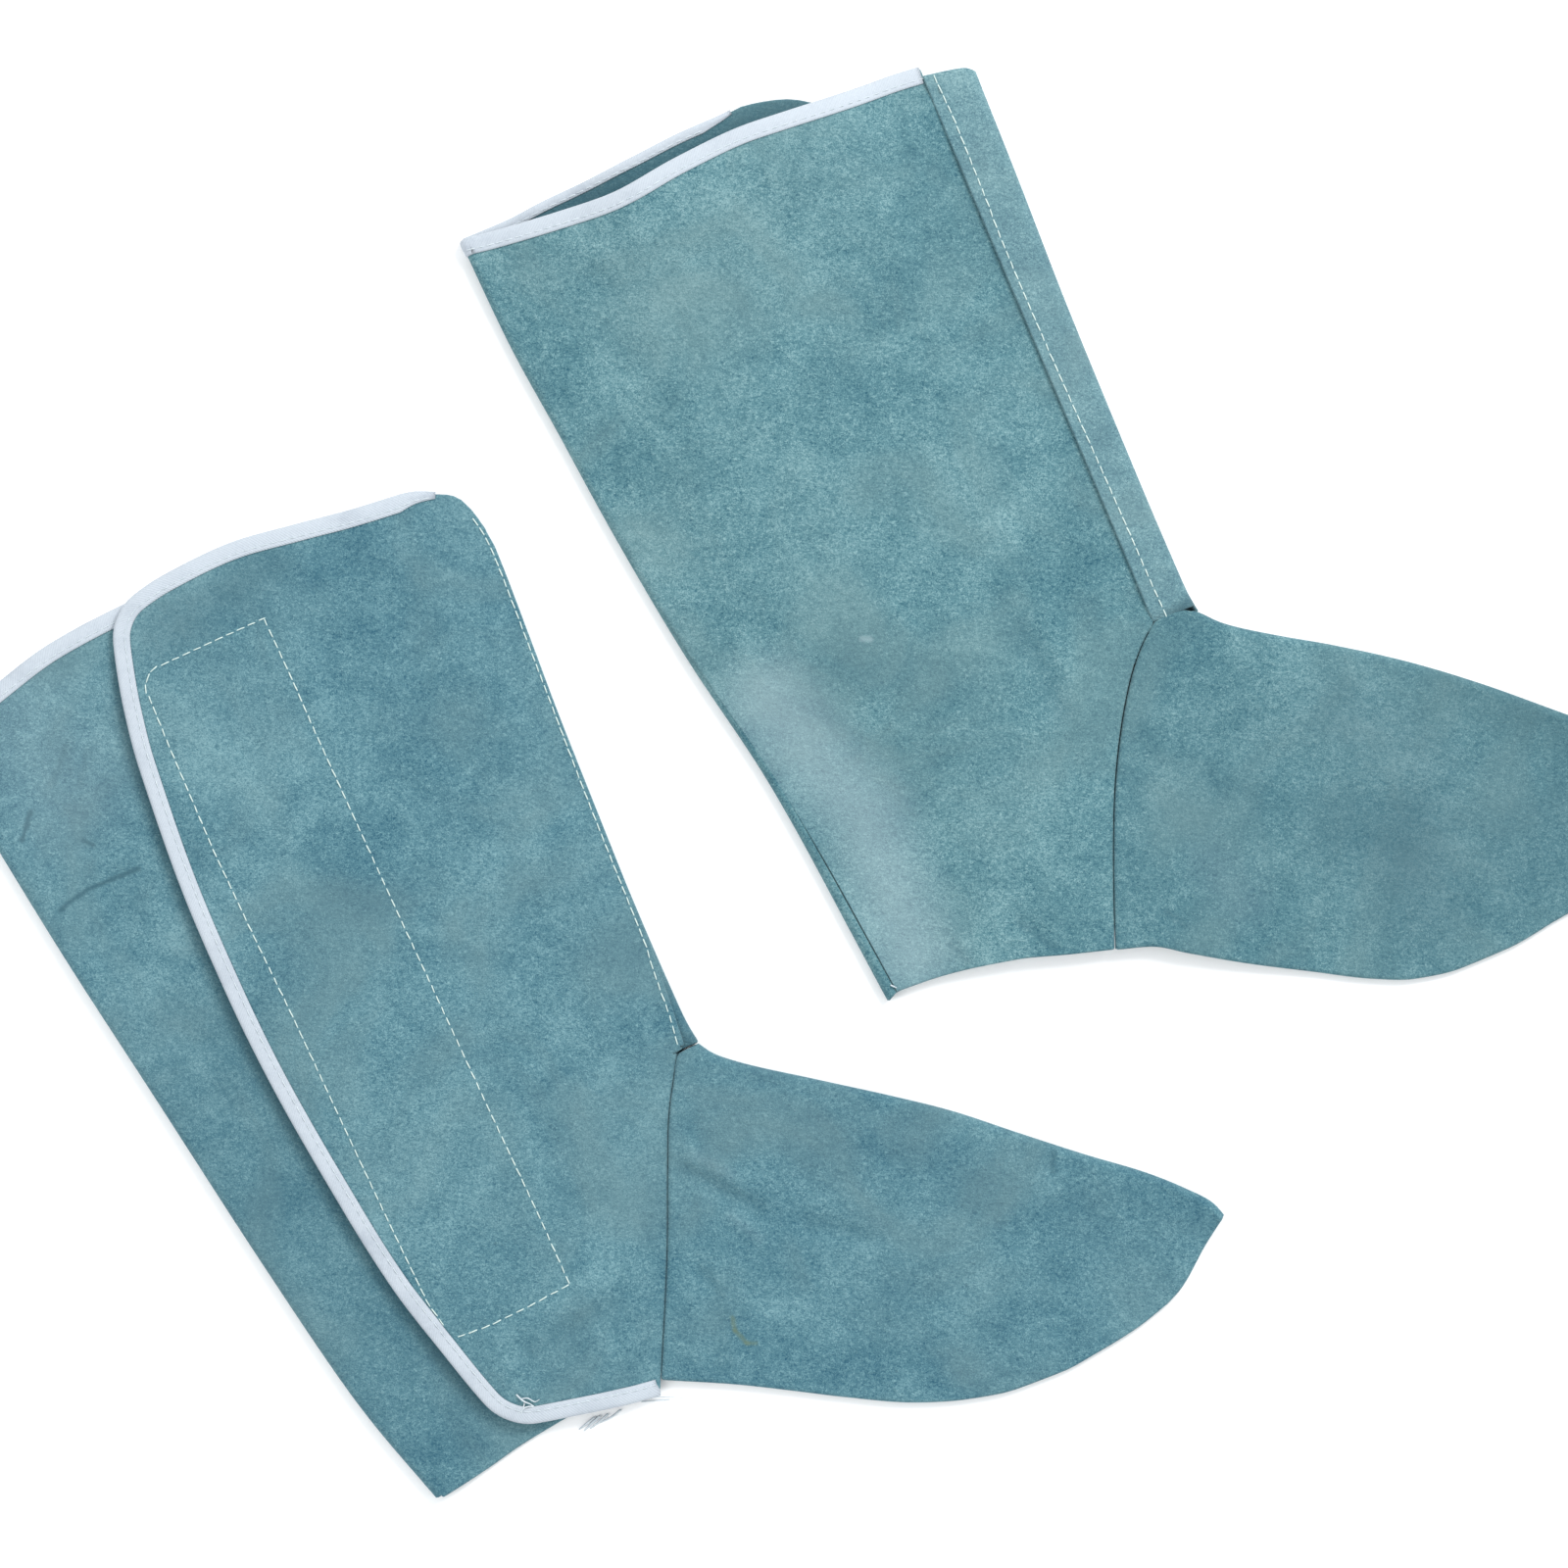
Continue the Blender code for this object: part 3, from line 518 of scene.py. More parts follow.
@dataclass(frozen=True)
class Outline:
    """A spat's finished outlines as it lies, binding included.

    The first group run up the leg, pairs of height y and place x. The second group run
    along the foot, pairs of place x and height y.
    """

    shin: tuple
    lap: tuple
    calf: tuple
    front: tuple
    back_front: tuple
    seam_up: tuple
    seam_low: tuple
    tape: tuple
    flap_rim: tuple
    flap_foot: tuple
    back_rim: tuple
    back_foot: tuple
    inner_rim: tuple
    inner_foot: tuple
    ankle_up: tuple
    ankle_low: tuple
    instep: tuple
    toe: tuple
    sole_up: tuple
    sole_low: tuple
    calf_return: float
    hem: float

    def line(self, name: str) -> SmoothLine:
        """The smooth line of that name."""
        return SmoothLine(getattr(self, name))


RIGHT_OUTLINE = Outline(
    shin=((-6, 5.0), (0, 3.6), (12, 1.9), (60, 0.7), (110, 0.3), (160, 1.5), (195, 2.1), (225, 1.6)),
    lap=((0, -2.2), (8, -1.7), (20, -0.9), (43, 0.2), (90, 0.5), (130, 0.8), (160, 1.6), (195, 2.3),
         (225, 1.8)),
    calf=((-118, -149.2), (-70, -164.0), (-20, -174.8), (60, -190.1), (120, -201.5), (212, -216.5)),
    front=((-108, -112.5), (-92, -119.4), (-68, -126.9), (-41, -134.5), (-9, -140.4), (56, -148.8),
           (85, -150.6), (118, -151.4), (172, -149.0), (192, -146.4), (212, -142.0), (232, -136.0)),
    back_front=((-110, -84.0), (-60, -68.0), (100, -60.0), (235, -57.0)),
    seam_up=((-108.4, -56.0), (-66.7, -36.7), (-33.4, -22.9), (-19.5, -16.8), (-6.5, -9.4), (-0.3, -5.8)),
    seam_low=((-105, -58.0), (-67, -41.0), (-36, -27.0), (-14, -14.0), (-6, -7.9), (-2.2, -5.0)),
    tape=((-62, -95.0), (60, -104.0), (207, -108.0)),
    flap_rim=((-140, 227.6), (-114, 234.0), (-89, 235.8), (-61, 232.9), (-42, 230.4), (-9, 227.0),
              (-3, 222.0), (2.5, 211.5)),
    flap_foot=((-118, -102.5), (-108, -105.2), (-87, -109.4), (-72, -112.2), (-56, -114.6)),
    back_rim=((-217, 211.0), (-187, 220.0), (-162, 226.6), (-136, 229.5), (-105, 231.0), (-60, 228.0)),
    back_foot=((-150, -118.8), (-128, -114.8), (-112, -111.2), (-88, -107.5), (-56, -103.0)),
    inner_rim=((-217, 211.0), (-187, 218.5), (-162, 222.5), (-115, 226.0), (-60, 226.0), (-9, 225.0),
               (-3, 221.0), (2.5, 211.0)),
    inner_foot=((-150, -117.6), (-110, -108.5), (-56, -104.5)),
    ankle_up=((0.8, -1.0), (-2.0, 0.1)),
    ankle_low=((0.8, -1.0),),
    instep=((3.3, 0.3), (6.4, -4.2), (12.3, -9.6), (38, -27.6), (61, -43.4), (80, -57.2), (100, -74.2),
            (120, -91.0), (138, -105.4), (149, -116.0), (156.8, -125.4), (158.5, -130.2)),
    toe=((148.0, -137.8), (133.6, -149.3), (127.0, -152.6)),
    sole_up=((-56.0, -108.4), (-31, -120.4), (-14, -129.6), (4, -139.6), (27.6, -151.4), (47.5, -157.9),
             (64, -160.8), (82, -161.2), (96, -159.6), (113, -156.7), (127.0, -152.6)),
    sole_low=((-58.0, -105.0), (-14, -128.0), (27.6, -150.0), (64, -159.4), (96, -158.2), (126.0, -151.6)),
    calf_return=9.0,
    hem=3.7,
)

LEFT_OUTLINE = Outline(
    shin=((-6, 3.6), (0, 1.4), (12, -0.2), (60, -1.2), (120, -1.6), (180, -0.8), (225, -0.6)),
    lap=((3, -15.8), (40, -16.3), (100, -17.4), (160, -18.5), (225, -19.4)),
    calf=((-89, -158.4), (-60, -161.5), (0, -168.8), (60, -180.7), (110, -188.1), (150, -192.8),
          (190, -197.5), (228, -199.6)),
    front=((-104, -107.0), (-60, -119.5), (-9, -129.0), (56, -136.0), (118, -138.0), (172, -136.0),
           (230, -126.0)),
    back_front=((-95, -70.0), (-60, -57.5), (100, -57.0), (240, -57.5)),
    seam_up=((-102.0, -74.0), (-67.0, -60.5), (-42.2, -49.3), (-12.5, -31.5), (0.0, -20.3), (4.2, -14.5)),
    seam_low=((-118.0, -41.0), (-52.0, -20.0), (-8.0, -6.0), (0.0, -3.4)),
    tape=((-62, -83.0), (60, -93.0), (207, -92.0)),
    flap_rim=((-128, 221.0), (-97, 227.0), (-72, 226.6), (-44, 224.2), (-19, 225.8), (-8, 224.2),
              (-3, 222.0), (1, 218.0)),
    flap_foot=((-108, -90.0), (-70, -97.0), (-39, -106.0)),
    back_rim=((-200, 230.0), (-182, 230.2), (-166, 231.8), (-147, 232.8), (-128, 234.2), (-108, 235.9),
              (-89, 236.2), (-84, 235.8), (-71.6, 233.2), (-62, 228.4), (-57, 223.0)),
    back_foot=((-159, -89.0), (-154, -86.6), (-140, -86.0), (-120, -88.6), (-78, -93.0)),
    inner_rim=((-200, 229.8), (-188, 228.0), (-160, 225.0), (-141, 223.6), (-115, 226.7), (-90, 228.4),
               (-74, 227.6), (-50, 226.4), (-32, 226.2), (-19, 225.2), (0, 223.0)),
    inner_foot=((-159, -86.2), (-140, -87.0), (-110, -91.6), (-90, -97.4), (-73, -102.2)),
    ankle_up=((-0.6, -0.6), (-3.8, 3.4), (-8.0, 4.1)),
    ankle_low=((-1.2, -1.0),),
    instep=((0.6, 0.6), (9.3, -7.2), (23, -16.6), (42.4, -28.7), (65.8, -44.8), (88, -62.6),
            (112.6, -84.6), (137, -106.0), (150, -119.0), (157.2, -127.4), (158.4, -130.6)),
    toe=((149.0, -137.0), (127.0, -147.0)),
    sole_up=((-74.0, -102.0), (-60, -106.5), (-50, -113.0), (-30, -125.4), (-10, -136.6), (10, -147.6),
             (25, -153.6), (42, -156.2), (60, -155.9), (84, -152.4), (105, -150.2), (127.0, -147.0)),
    sole_low=((-41.0, -118.0), (-10, -135.2), (25, -152.2), (60, -154.6), (126.0, -146.0)),
    calf_return=0.4,
    hem=7.3,
)


def refit(points: Array, first: int, foot: Line | None, rim: Line | None) -> Array:
    """A folded lattice with the ends of its columns from first on moved to a foot and a rim.

    Args:
        points: the points in mm.
        first: the first column that is moved.
        foot: the y of the foot at each x, or None.
        rim: the y of the rim at each x, or None.

    Returns:
        The points in mm.
    """
    moved = points.copy()
    part = moved[:, first:]
    low, high = part[:1, :, 1], part[-1:, :, 1]
    share = (part[..., 1] - low) / (high - low)
    x = part[..., 0]
    shift = np.zeros_like(x)
    if rim is not None:
        shift += (rim(x) - high) * ease(share, 0.8, 1.0)
    if foot is not None:
        shift += (foot(x) - low) * (1 - ease(share, 0.0, 0.2))
    part[..., 1] += shift
    return moved


# ---------------------------------------------------------------------------- meshes


def add_piece(name: str, points: Array, faces: list, material: bpy.types.Material) -> bpy.types.Object:
    """A smooth-shaded object at the origin.

    Args:
        name: of the piece.
        points: (n, 3) in metres.
        faces: lists of point numbers, facing out.
        material: its finish.

    Returns:
        The object, linked to the scene.
    """
    mesh = bpy.data.meshes.new(name)
    mesh.from_pydata(np.asarray(points).tolist(), [], faces)
    mesh.polygons.foreach_set("use_smooth", np.ones(len(mesh.polygons), bool))
    mesh.materials.append(material)
    mesh.update()
    piece = bpy.data.objects.new(name, mesh)
    bpy.context.scene.collection.objects.link(piece)
    return piece


def shell(name: str, lattice: Lattice, keep: Array, place: Placement, material: bpy.types.Material,
          thickness: float = LEATHER) -> bpy.types.Object:
    """A closed sheet of even thickness about the kept cells of a lattice, its cut edges rounded.

    Args:
        name: of the piece.
        lattice: middle points and normals.
        keep: (rows - 1, columns - 1), true for the cells that exist.
        place: where the spat lies.
        material: its finish.
        thickness: in millimetres.

    Returns:
        The object.
    """
    used = np.zeros(lattice.points.shape[:2], bool)
    for di in (0, 1):
        for dj in (0, 1):
            used[di : di + keep.shape[0], dj : dj + keep.shape[1]] |= keep
    index = np.full(used.shape, -1)
    count = int(used.sum())
    index[used] = np.arange(count)
    middle, normal = lattice.points[used], lattice.normals[used]
    i, j = np.nonzero(keep)
    ring = np.stack([index[i, j], index[i, j + 1], index[i + 1, j + 1], index[i + 1, j]], axis=1)
    if lattice.flipped:
        ring = ring[:, ::-1]
    start, end = ring.reshape(-1), np.roll(ring, -1, axis=1).reshape(-1)
    alone = ~np.isin(start * count + end, end * count + start)
    start, end = start[alone], end[alone]
    outward = np.zeros_like(middle)
    sideways = np.cross(middle[end] - middle[start], normal[start])
    np.add.at(outward, start, sideways)
    np.add.at(outward, end, sideways)
    outward /= np.maximum(np.linalg.norm(outward, axis=1, keepdims=True), TINY)
    rim = np.unique(np.concatenate([start, end]))
    rim_index = np.full(count, -1)
    rim_index[rim] = 2 * count + np.arange(len(rim))
    points = np.concatenate([
        middle + normal * thickness / 2,
        middle - normal * thickness / 2,
        middle[rim] + outward[rim] * 0.3 * thickness,
    ])
    a_mid, b_mid = rim_index[start], rim_index[end]
    upper = np.stack([end, start, a_mid, b_mid], axis=1)
    lower = np.stack([b_mid, a_mid, start + count, end + count], axis=1)
    faces = np.concatenate([ring, ring[:, ::-1] + count, upper, lower])
    return add_piece(name, place.world(points), faces.tolist(), material)


@dataclass
class Frames:
    """Places along an edge, each with what lies at each depth in from it.

    edge, inward: (n, 3). points, normals: (n, depths, 3), the leather's middle and the
    normal on the side that is up to start with.
    """

    edge: Array
    inward: Array
    points: Array
    normals: Array

    @staticmethod
    def joined(parts: Sequence["Frames"]) -> "Frames":
        """One run from several, each carrying on from the last on the same side.

        Args:
            parts: the runs, in order.

        Returns:
            The one run.
        """
        found = parts[0]
        for part in parts[1:]:
            same = np.dot(found.normals[-1, 0], part.normals[0, 0]) > 0
            normals = part.normals if same else -part.normals
            found = Frames(
                np.concatenate([found.edge, part.edge]),
                np.concatenate([found.inward, part.inward]),
                np.concatenate([found.points, part.points]),
                np.concatenate([found.normals, normals]),
            )
        return found

    def part(self, first: int, last: int) -> "Frames":
        """The frames from first up to last."""
        chosen = slice(first, last)
        return Frames(self.edge[chosen], self.inward[chosen], self.points[chosen], self.normals[chosen])

    def tapered(self, first: int, last: int, least: float) -> "Frames":
        """The frames with their depths drawn in to a least share over the first and last few.

        Args:
            first: how many frames at the start.
            last: how many at the end.
            least: the share at the very ends.

        Returns:
            The frames.
        """
        share = np.ones(len(self.edge))
        if first:
            share[:first] = np.linspace(least, 1.0, first)
        if last:
            share[-last:] = np.linspace(1.0, least, last)
        points = mix(self.points[:, :1], self.points, share[:, None, None])
        return Frames(self.edge, self.inward, points, self.normals)


DEPTHS = np.array([0.0, 0.5, 1.3, 2.4, 3.4, 4.3, BINDING_DEPTH])
STITCH_DEPTH = 4
PUFF_REACH = 3.6
EDGE_DROOP = 0.18
STITCH_PULL = 0.07


def slope_normals(height: Height, x: Array, y: Array) -> Array:
    """The unit normals, facing up, of the surface z = height(x, y).

    Args:
        height: the height at plan points.
        x: plan x, in mm.
        y: plan y, in mm.

    Returns:
        The normals, as (..., 3).
    """
    step = 0.4
    dx = (height(x + step, y) - height(x - step, y)) / (2 * step)
    dy = (height(x, y + step) - height(x, y - step)) / (2 * step)
    normals = np.stack([-dx, -dy, np.ones_like(dx)], axis=-1)
    return normals / np.linalg.norm(normals, axis=-1, keepdims=True)


def even_path(points: Array, step: float) -> Array:
    """Plan points evenly spaced along a polyline, its small corners smoothed.

    Args:
        points: the corners of the polyline, in mm.
        step: the spacing in mm.

    Returns:
        The points in mm.
    """
    lengths = np.concatenate([[0.0], np.cumsum(np.linalg.norm(np.diff(points, axis=0), axis=1))])
    count = max(2, math.ceil(lengths[-1] / step))
    at = np.linspace(0.0, lengths[-1], count + 1)
    found = np.stack([np.interp(at, lengths, points[:, k]) for k in (0, 1)], axis=1)
    for _ in range(2):
        found[1:-1] = 0.25 * found[:-2] + 0.5 * found[1:-1] + 0.25 * found[2:]
    return found


def flat_frames(edge: Array, height: Height, side: int, step: float = 1.8, share: float = 1.0) -> Frames:
    """Frames along a plan polyline on the surface z = height(x, y).

    Args:
        edge: (n, 2) plan points in order.
        height: of the leather's middle.
        side: 1 if the leather lies to the right of the way along, -1 to the left.
        step: millimetres between frames.
        share: of the binding's usual depth.

    Returns:
        The frames.
    """
    path = even_path(edge, step)
    way = np.gradient(path, axis=0)
    way /= np.linalg.norm(way, axis=1, keepdims=True)
    inward = side * np.stack([way[:, 1], -way[:, 0]], axis=1)
    plan = path[:, None] + inward[:, None] * DEPTHS[:, None] * share
    x, y = plan[..., 0], plan[..., 1]
    points = np.concatenate([plan, height(x, y)[..., None]], axis=-1)
    return Frames(points[:, 0], np.concatenate([inward, np.zeros((len(inward), 1))], axis=1), points,
                  slope_normals(height, x, y))


def folded_frames(lattice: Lattice, columns: Sequence[int], row: int = -1) -> Frames:
    """Frames along a lattice's first or last row, at these columns.

    Args:
        lattice: the lattice of the leather.
        columns: the columns in order.
        row: 0 for the first row, -1 for the last.

    Returns:
        The frames.
    """
    order = 1 if row == 0 else -1
    points, normals = [], []
    for column in columns:
        trail, facing = lattice.points[::order, column], lattice.normals[::order, column]
        depth = np.concatenate([[0.0], np.cumsum(np.linalg.norm(np.diff(trail, axis=0), axis=1))])
        points.append(np.stack([np.interp(DEPTHS, depth, trail[:, k]) for k in range(3)], axis=1))
        normals.append(np.stack([np.interp(DEPTHS, depth, facing[:, k]) for k in range(3)], axis=1))
    points, normals = np.array(points), np.array(normals)
    inward = points[:, 1] - points[:, 0]
    inward /= np.linalg.norm(inward, axis=1, keepdims=True)
    return Frames(points[:, 0], inward, points, normals)


@dataclass(frozen=True)
class Tape:
    """Woven binding tape folded over a cut edge.

    reach: how far it stands out past the edge. thick: of the tape. clear: between it
    and the leather. bulge: how far its upper side puffs out beside the stitches.
    """

    reach: float = BINDING_OVER
    thick: float = TAPE
    clear: float = TAPE_CLEAR
    bulge: float = 0.16

    def section(self, outer: bool) -> tuple[Array, Array, Array]:
        """The section's loop, as the number of the depth (0 round the fold), the way out and the height.

        Args:
            outer: true for the outer face of the tape.

        Returns:
            The three, each with a value for each point.
        """
        out = HALF + self.clear + (self.thick if outer else 0.0)
        reach = self.reach if outer else self.reach - self.thick
        arc = [math.pi * k / 6 for k in range(1, 6)]
        count = len(DEPTHS)
        numbers = list(range(count - 1, -1, -1)) + [0] * len(arc) + list(range(count))
        ways = [0.0] * count + [reach * math.sin(turn) for turn in arc] + [0.0] * count
        side = [out] * count
        if outer:
            side = [out + self.bulge * math.sin(math.pi * min(1.0, depth / PUFF_REACH)) for depth in DEPTHS]
            side[-1] -= EDGE_DROOP
        heights = side[::-1] + [out * math.cos(turn) for turn in arc] + [-height for height in side]
        return np.array(numbers), np.array(ways), np.array(heights)

    def build(self, name: str, frames: Frames, place: Placement, material: bpy.types.Material,
              pitch: float) -> bpy.types.Object:
        """The tape swept along frames, with a UV map in millimetres along and across it.

        Args:
            name: the name of the piece.
            frames: the frames along the edge.
            place: where the spat lies.
            material: the finish.
            pitch: the spacing of the pulls, in mm.

        Returns:
            The piece.
        """
        rings = []
        for outer in (True, False):
            numbers, ways, heights = self.section(outer)
            base, facing = frames.points[:, numbers], frames.normals[:, numbers]
            ring = base + facing * heights[:, None] - frames.inward[:, None] * ways[:, None]
            rings.append(ring if outer else ring[:, ::-1])
        loop = np.concatenate(rings, axis=1)
        along = np.concatenate([[0.0], np.cumsum(np.linalg.norm(np.diff(frames.edge, axis=0), axis=1))])
        seam = np.zeros(loop.shape[1])
        seam[2:4] = 1.0
        pulled = (0.5 + 0.5 * np.cos(2 * math.pi * along / pitch))[:, None] * seam
        loop[..., 2] -= STITCH_PULL * pulled
        n, m = loop.shape[:2]
        i, k = np.meshgrid(np.arange(n - 1), np.arange(m), indexing="ij")
        after = (k + 1) % m
        quads = np.stack([i * m + k, i * m + after, (i + 1) * m + after, (i + 1) * m + k], axis=-1)
        quads = quads.reshape(-1, 4)
        across = np.concatenate([[0.0], np.cumsum(np.linalg.norm(np.diff(loop[n // 2], axis=0), axis=1))])
        across = np.append(across, across[-1] + TAPE)
        uv = np.stack([
            np.stack([along[i], across[k]], -1), np.stack([along[i], across[k + 1]], -1),
            np.stack([along[i + 1], across[k + 1]], -1), np.stack([along[i + 1], across[k]], -1),
        ], axis=-2).reshape(-1, 4, 2)
        caps, faces_out = [], self._faces_out(loop)
        for at, turn in ((0, False), (n - 1, True)):
            for q in range(m // 2 - 1):
                face = [at * m + q, at * m + q + 1, at * m + m - 2 - q, at * m + m - 1 - q]
                caps.append(face[::-1] if turn == faces_out else face)
        if not faces_out:
            quads, uv = quads[:, ::-1], uv[:, ::-1]
        piece = add_piece(name, place.world(loop.reshape(-1, 3)), quads.tolist() + caps, material)
        layer = piece.data.uv_layers.new(name="weave")
        flat = np.concatenate([uv.reshape(-1, 2), np.zeros((4 * len(caps), 2))])
        layer.data.foreach_set("uv", flat.reshape(-1).astype(np.float32))
        return piece

    @staticmethod
    def _faces_out(loop: Array) -> bool:
        """Whether quads that run round the loop first and then along face out.

        Args:
            loop: the points of the sweep, as (frames, points, 3).

        Returns:
            True if they do.
        """
        middle = len(loop) // 2
        around = loop[middle, 3] - loop[middle, 1]
        ahead = loop[middle + 1, 2] - loop[middle, 2]
        out = loop[middle, 2] - loop[middle, -3]
        return float(np.dot(np.cross(around, ahead), out)) > 0


@dataclass(frozen=True)
class Strand:
    """A loose thread through plan points, each with its height above what it lies on."""

    points: tuple[tuple[float, float, float], ...]
    radius: float = 0.17

    def tube(self, top: Height) -> tuple[Array, list]:
        """A closed tube's points in the plan and its faces.

        Args:
            top: the height of the surface that it lies on.

        Returns:
            The points and the faces, facing out.
        """
        route, rise = Route([point[:2] for point in self.points]), len(self.points) - 1
        share = np.linspace(0.0, 1.0, STRAND_STEPS)
        plan = route(share)
        above = np.interp(share * rise, np.arange(rise + 1), [point[2] for point in self.points])
        middle = np.concatenate([plan, (top(plan[:, 0], plan[:, 1]) + above)[:, None]], axis=1)
        way = np.gradient(middle, axis=0)
        way /= np.linalg.norm(way, axis=1, keepdims=True)
        side = np.cross(way, np.array([0.0, 0.0, 1.0]))
        side /= np.linalg.norm(side, axis=1, keepdims=True)
        up = np.cross(side, way)
        turn = 2 * math.pi * np.arange(STRAND_SIDES) / STRAND_SIDES
        ring = side[:, None] * np.cos(turn)[:, None] + up[:, None] * np.sin(turn)[:, None]
        thin = self.radius * (1 - 0.5 * share[:, None, None] ** 2)
        points = (middle[:, None] + ring * thin).reshape(-1, 3)
        m, faces = STRAND_SIDES, []
        for i in range(STRAND_STEPS - 1):
            here, there = i * m, (i + 1) * m
            faces += [[here + k, there + k, there + (k + 1) % m, here + (k + 1) % m] for k in range(m)]
        last = (STRAND_STEPS - 1) * m
        return points, [*faces, list(range(m)), list(range(last + m - 1, last - 1, -1))]


# ---------------------------------------------------------------------------- finishes


class Value:
    """A number in a shader: a socket whose sums add Math nodes."""

    def __init__(self, shader: "Shader", socket: bpy.types.NodeSocket) -> None:
        """Wraps a socket of that shader."""
        self.shader, self.socket = shader, socket

    def _with(self, operation: str, *others: object) -> "Value":
        """A Math node of this value and others."""
        made = self.shader.node("ShaderNodeMath", {"operation": operation}, dict(enumerate((self, *others))))
        return Value(self.shader, made.outputs[0])

    def _after(self, operation: str, other: float) -> "Value":
        """A Math node with this value second."""
        made = self.shader.node("ShaderNodeMath", {"operation": operation}, {0: other, 1: self})
        return Value(self.shader, made.outputs[0])

    def __add__(self, other: object) -> "Value":
        """Sum."""
        return self._with("ADD", other)

    def __sub__(self, other: object) -> "Value":
        """Difference."""
        return self._with("SUBTRACT", other)

    def __mul__(self, other: object) -> "Value":
        """Product."""
        return self._with("MULTIPLY", other)

    def __truediv__(self, other: object) -> "Value":
        """Quotient."""
        return self._with("DIVIDE", other)

    def __radd__(self, other: float) -> "Value":
        """Sum with a number first."""
        return self._after("ADD", other)

    def __rsub__(self, other: float) -> "Value":
        """Number less this."""
        return self._after("SUBTRACT", other)

    def __rmul__(self, other: float) -> "Value":
        """Product with a number first."""
        return self._after("MULTIPLY", other)

    def root(self) -> "Value":
        """The square root."""
        return self._with("SQRT")

    def sine(self) -> "Value":
        """The sine."""
        return self._with("SINE")

    def most(self, other: object) -> "Value":
        """The larger of the two."""
        return self._with("MAXIMUM", other)

    def within(self, low: float = 0.0, high: float = 1.0) -> "Value":
        """Kept between low and high."""
        return self._with("MAXIMUM", low)._with("MINIMUM", high)

    def smooth(self, start: float, end: float) -> "Value":
        """0 at start, 1 at end, smooth between; start may be the larger.

        Args:
            start: the value that gives 0.
            end: the value that gives 1.

        Returns:
            The result.
        """
        settings = {"interpolation_type": "SMOOTHSTEP"}
        low, high, first, last = (start, end, 0.0, 1.0) if start < end else (end, start, 1.0, 0.0)
        made = self.shader.node("ShaderNodeMapRange", settings, {0: self, 1: low, 2: high, 3: first, 4: last})
        return Value(self.shader, made.outputs[0])


Colour = tuple[float, float, float]


def linear(red: float, green: float, blue: float) -> Colour:
    """A colour of 0 to 255 display levels as linear light."""
    return tuple(((c / 255 + 0.055) / 1.055) ** 2.4 if c > 10 else c / 3294 for c in (red, green, blue))


OLIVE = linear(96, 112, 84)
# Colours that marks blend towards: darker for spots and for painted shade in creases, folds and shadows;
# paler for scuffs and for painted highlights on ridges.
SPOT_AND_SHADE_DARK = linear(52, 86, 98)
SCUFF_AND_HIGHLIGHT_PALE = linear(168, 188, 193)


class Shader:
    """A material under construction."""

    def __init__(self, name: str) -> None:
        """An empty material with a Principled surface.

        Args:
            name: the name of the material.
        """
        self.material = bpy.data.materials.new(name)
        self.material.use_nodes = True
        self.tree = self.material.node_tree
        self.surface = self.tree.nodes["Principled BSDF"]
        self.count = 0

    def node(self, kind: str, settings: dict | None = None, inputs: dict | None = None) -> bpy.types.Node:
        """A node of a type.

        Args:
            kind: the node's type.
            settings: its properties, set first; "stops" are a ramp's places and colours.
            inputs: values, sockets or Values by input number or name.

        Returns:
            The node.
        """
        made = self.tree.nodes.new(kind)
        self.count += 1
        made.location = (-220 * (self.count % 24), -160 * (self.count // 24))
        for key, value in (settings or {}).items():
            if key == "stops":
                for _ in range(len(value) - 2):
                    made.color_ramp.elements.new(0.5)
                for element, (place, colour) in zip(made.color_ramp.elements, value):
                    element.position = place
                    element.color = (*colour, 1.0)
            else:
                setattr(made, key, value)
        for key, value in (inputs or {}).items():
            self.link(made.inputs[key], value)
        return made

    def link(self, socket: bpy.types.NodeSocket, value: object) -> None:
        """Sets a socket to a value, or links it.

        Args:
            socket: the input.
            value: a number, a colour, a Value or a socket.
        """
        if isinstance(value, Value):
            self.tree.links.new(value.socket, socket)
        elif isinstance(value, bpy.types.NodeSocket):
            self.tree.links.new(value, socket)
        elif isinstance(value, tuple) and len(value) == 3 and socket.type == "RGBA":
            socket.default_value = (*value, 1.0)
        else:
            socket.default_value = value

    def noise(self, where: bpy.types.NodeSocket, scale: float, detail: float = 2.0, rough: float = 0.5,
              bend: float = 0.0) -> Value:
        """Soft noise about 0, mostly from -0.5 to 0.5.

        Args:
            where: the place.
            scale: cells in each unit of place.
            detail: octaves.
            rough: how much the finer octaves count.
            bend: distortion.

        Returns:
            The noise.
        """
        inputs = {"Vector": where, "Scale": scale, "Detail": detail, "Roughness": rough, "Distortion": bend}
        made = self.node("ShaderNodeTexNoise", None, inputs)
        return (Value(self, made.outputs[0]) - 0.5) * 1.6

    def blend(self, share: object, first: object, second: object) -> bpy.types.NodeSocket:
        """Two colours mixed.

        Args:
            share: the share of the second.
            first: a colour.
            second: a colour.

        Returns:
            The colour.
        """
        settings = {"data_type": "RGBA", "clamp_factor": True}
        made = self.node("ShaderNodeMix", settings, {0: share, 6: first, 7: second})
        return made.outputs[2]

    def bump(self, height: Value, distance: float, strength: float,
             under: object = None) -> bpy.types.NodeSocket:
        """A bumped normal.

        Args:
            height: the height.
            distance: metres for a height of 1.
            strength: from 0 to 1.
            under: a normal to bump further, or None.

        Returns:
            The normal.
        """
        inputs = {"Height": height, "Distance": distance, "Strength": strength}
        if under is not None:
            inputs["Normal"] = under
        return self.node("ShaderNodeBump", None, inputs).outputs[0]

    def fix(self, **values: object) -> None:
        """Sets the surface's own sockets, underscores for spaces."""
        for key, value in values.items():
            self.link(self.surface.inputs[key.replace("_", " ")], value)


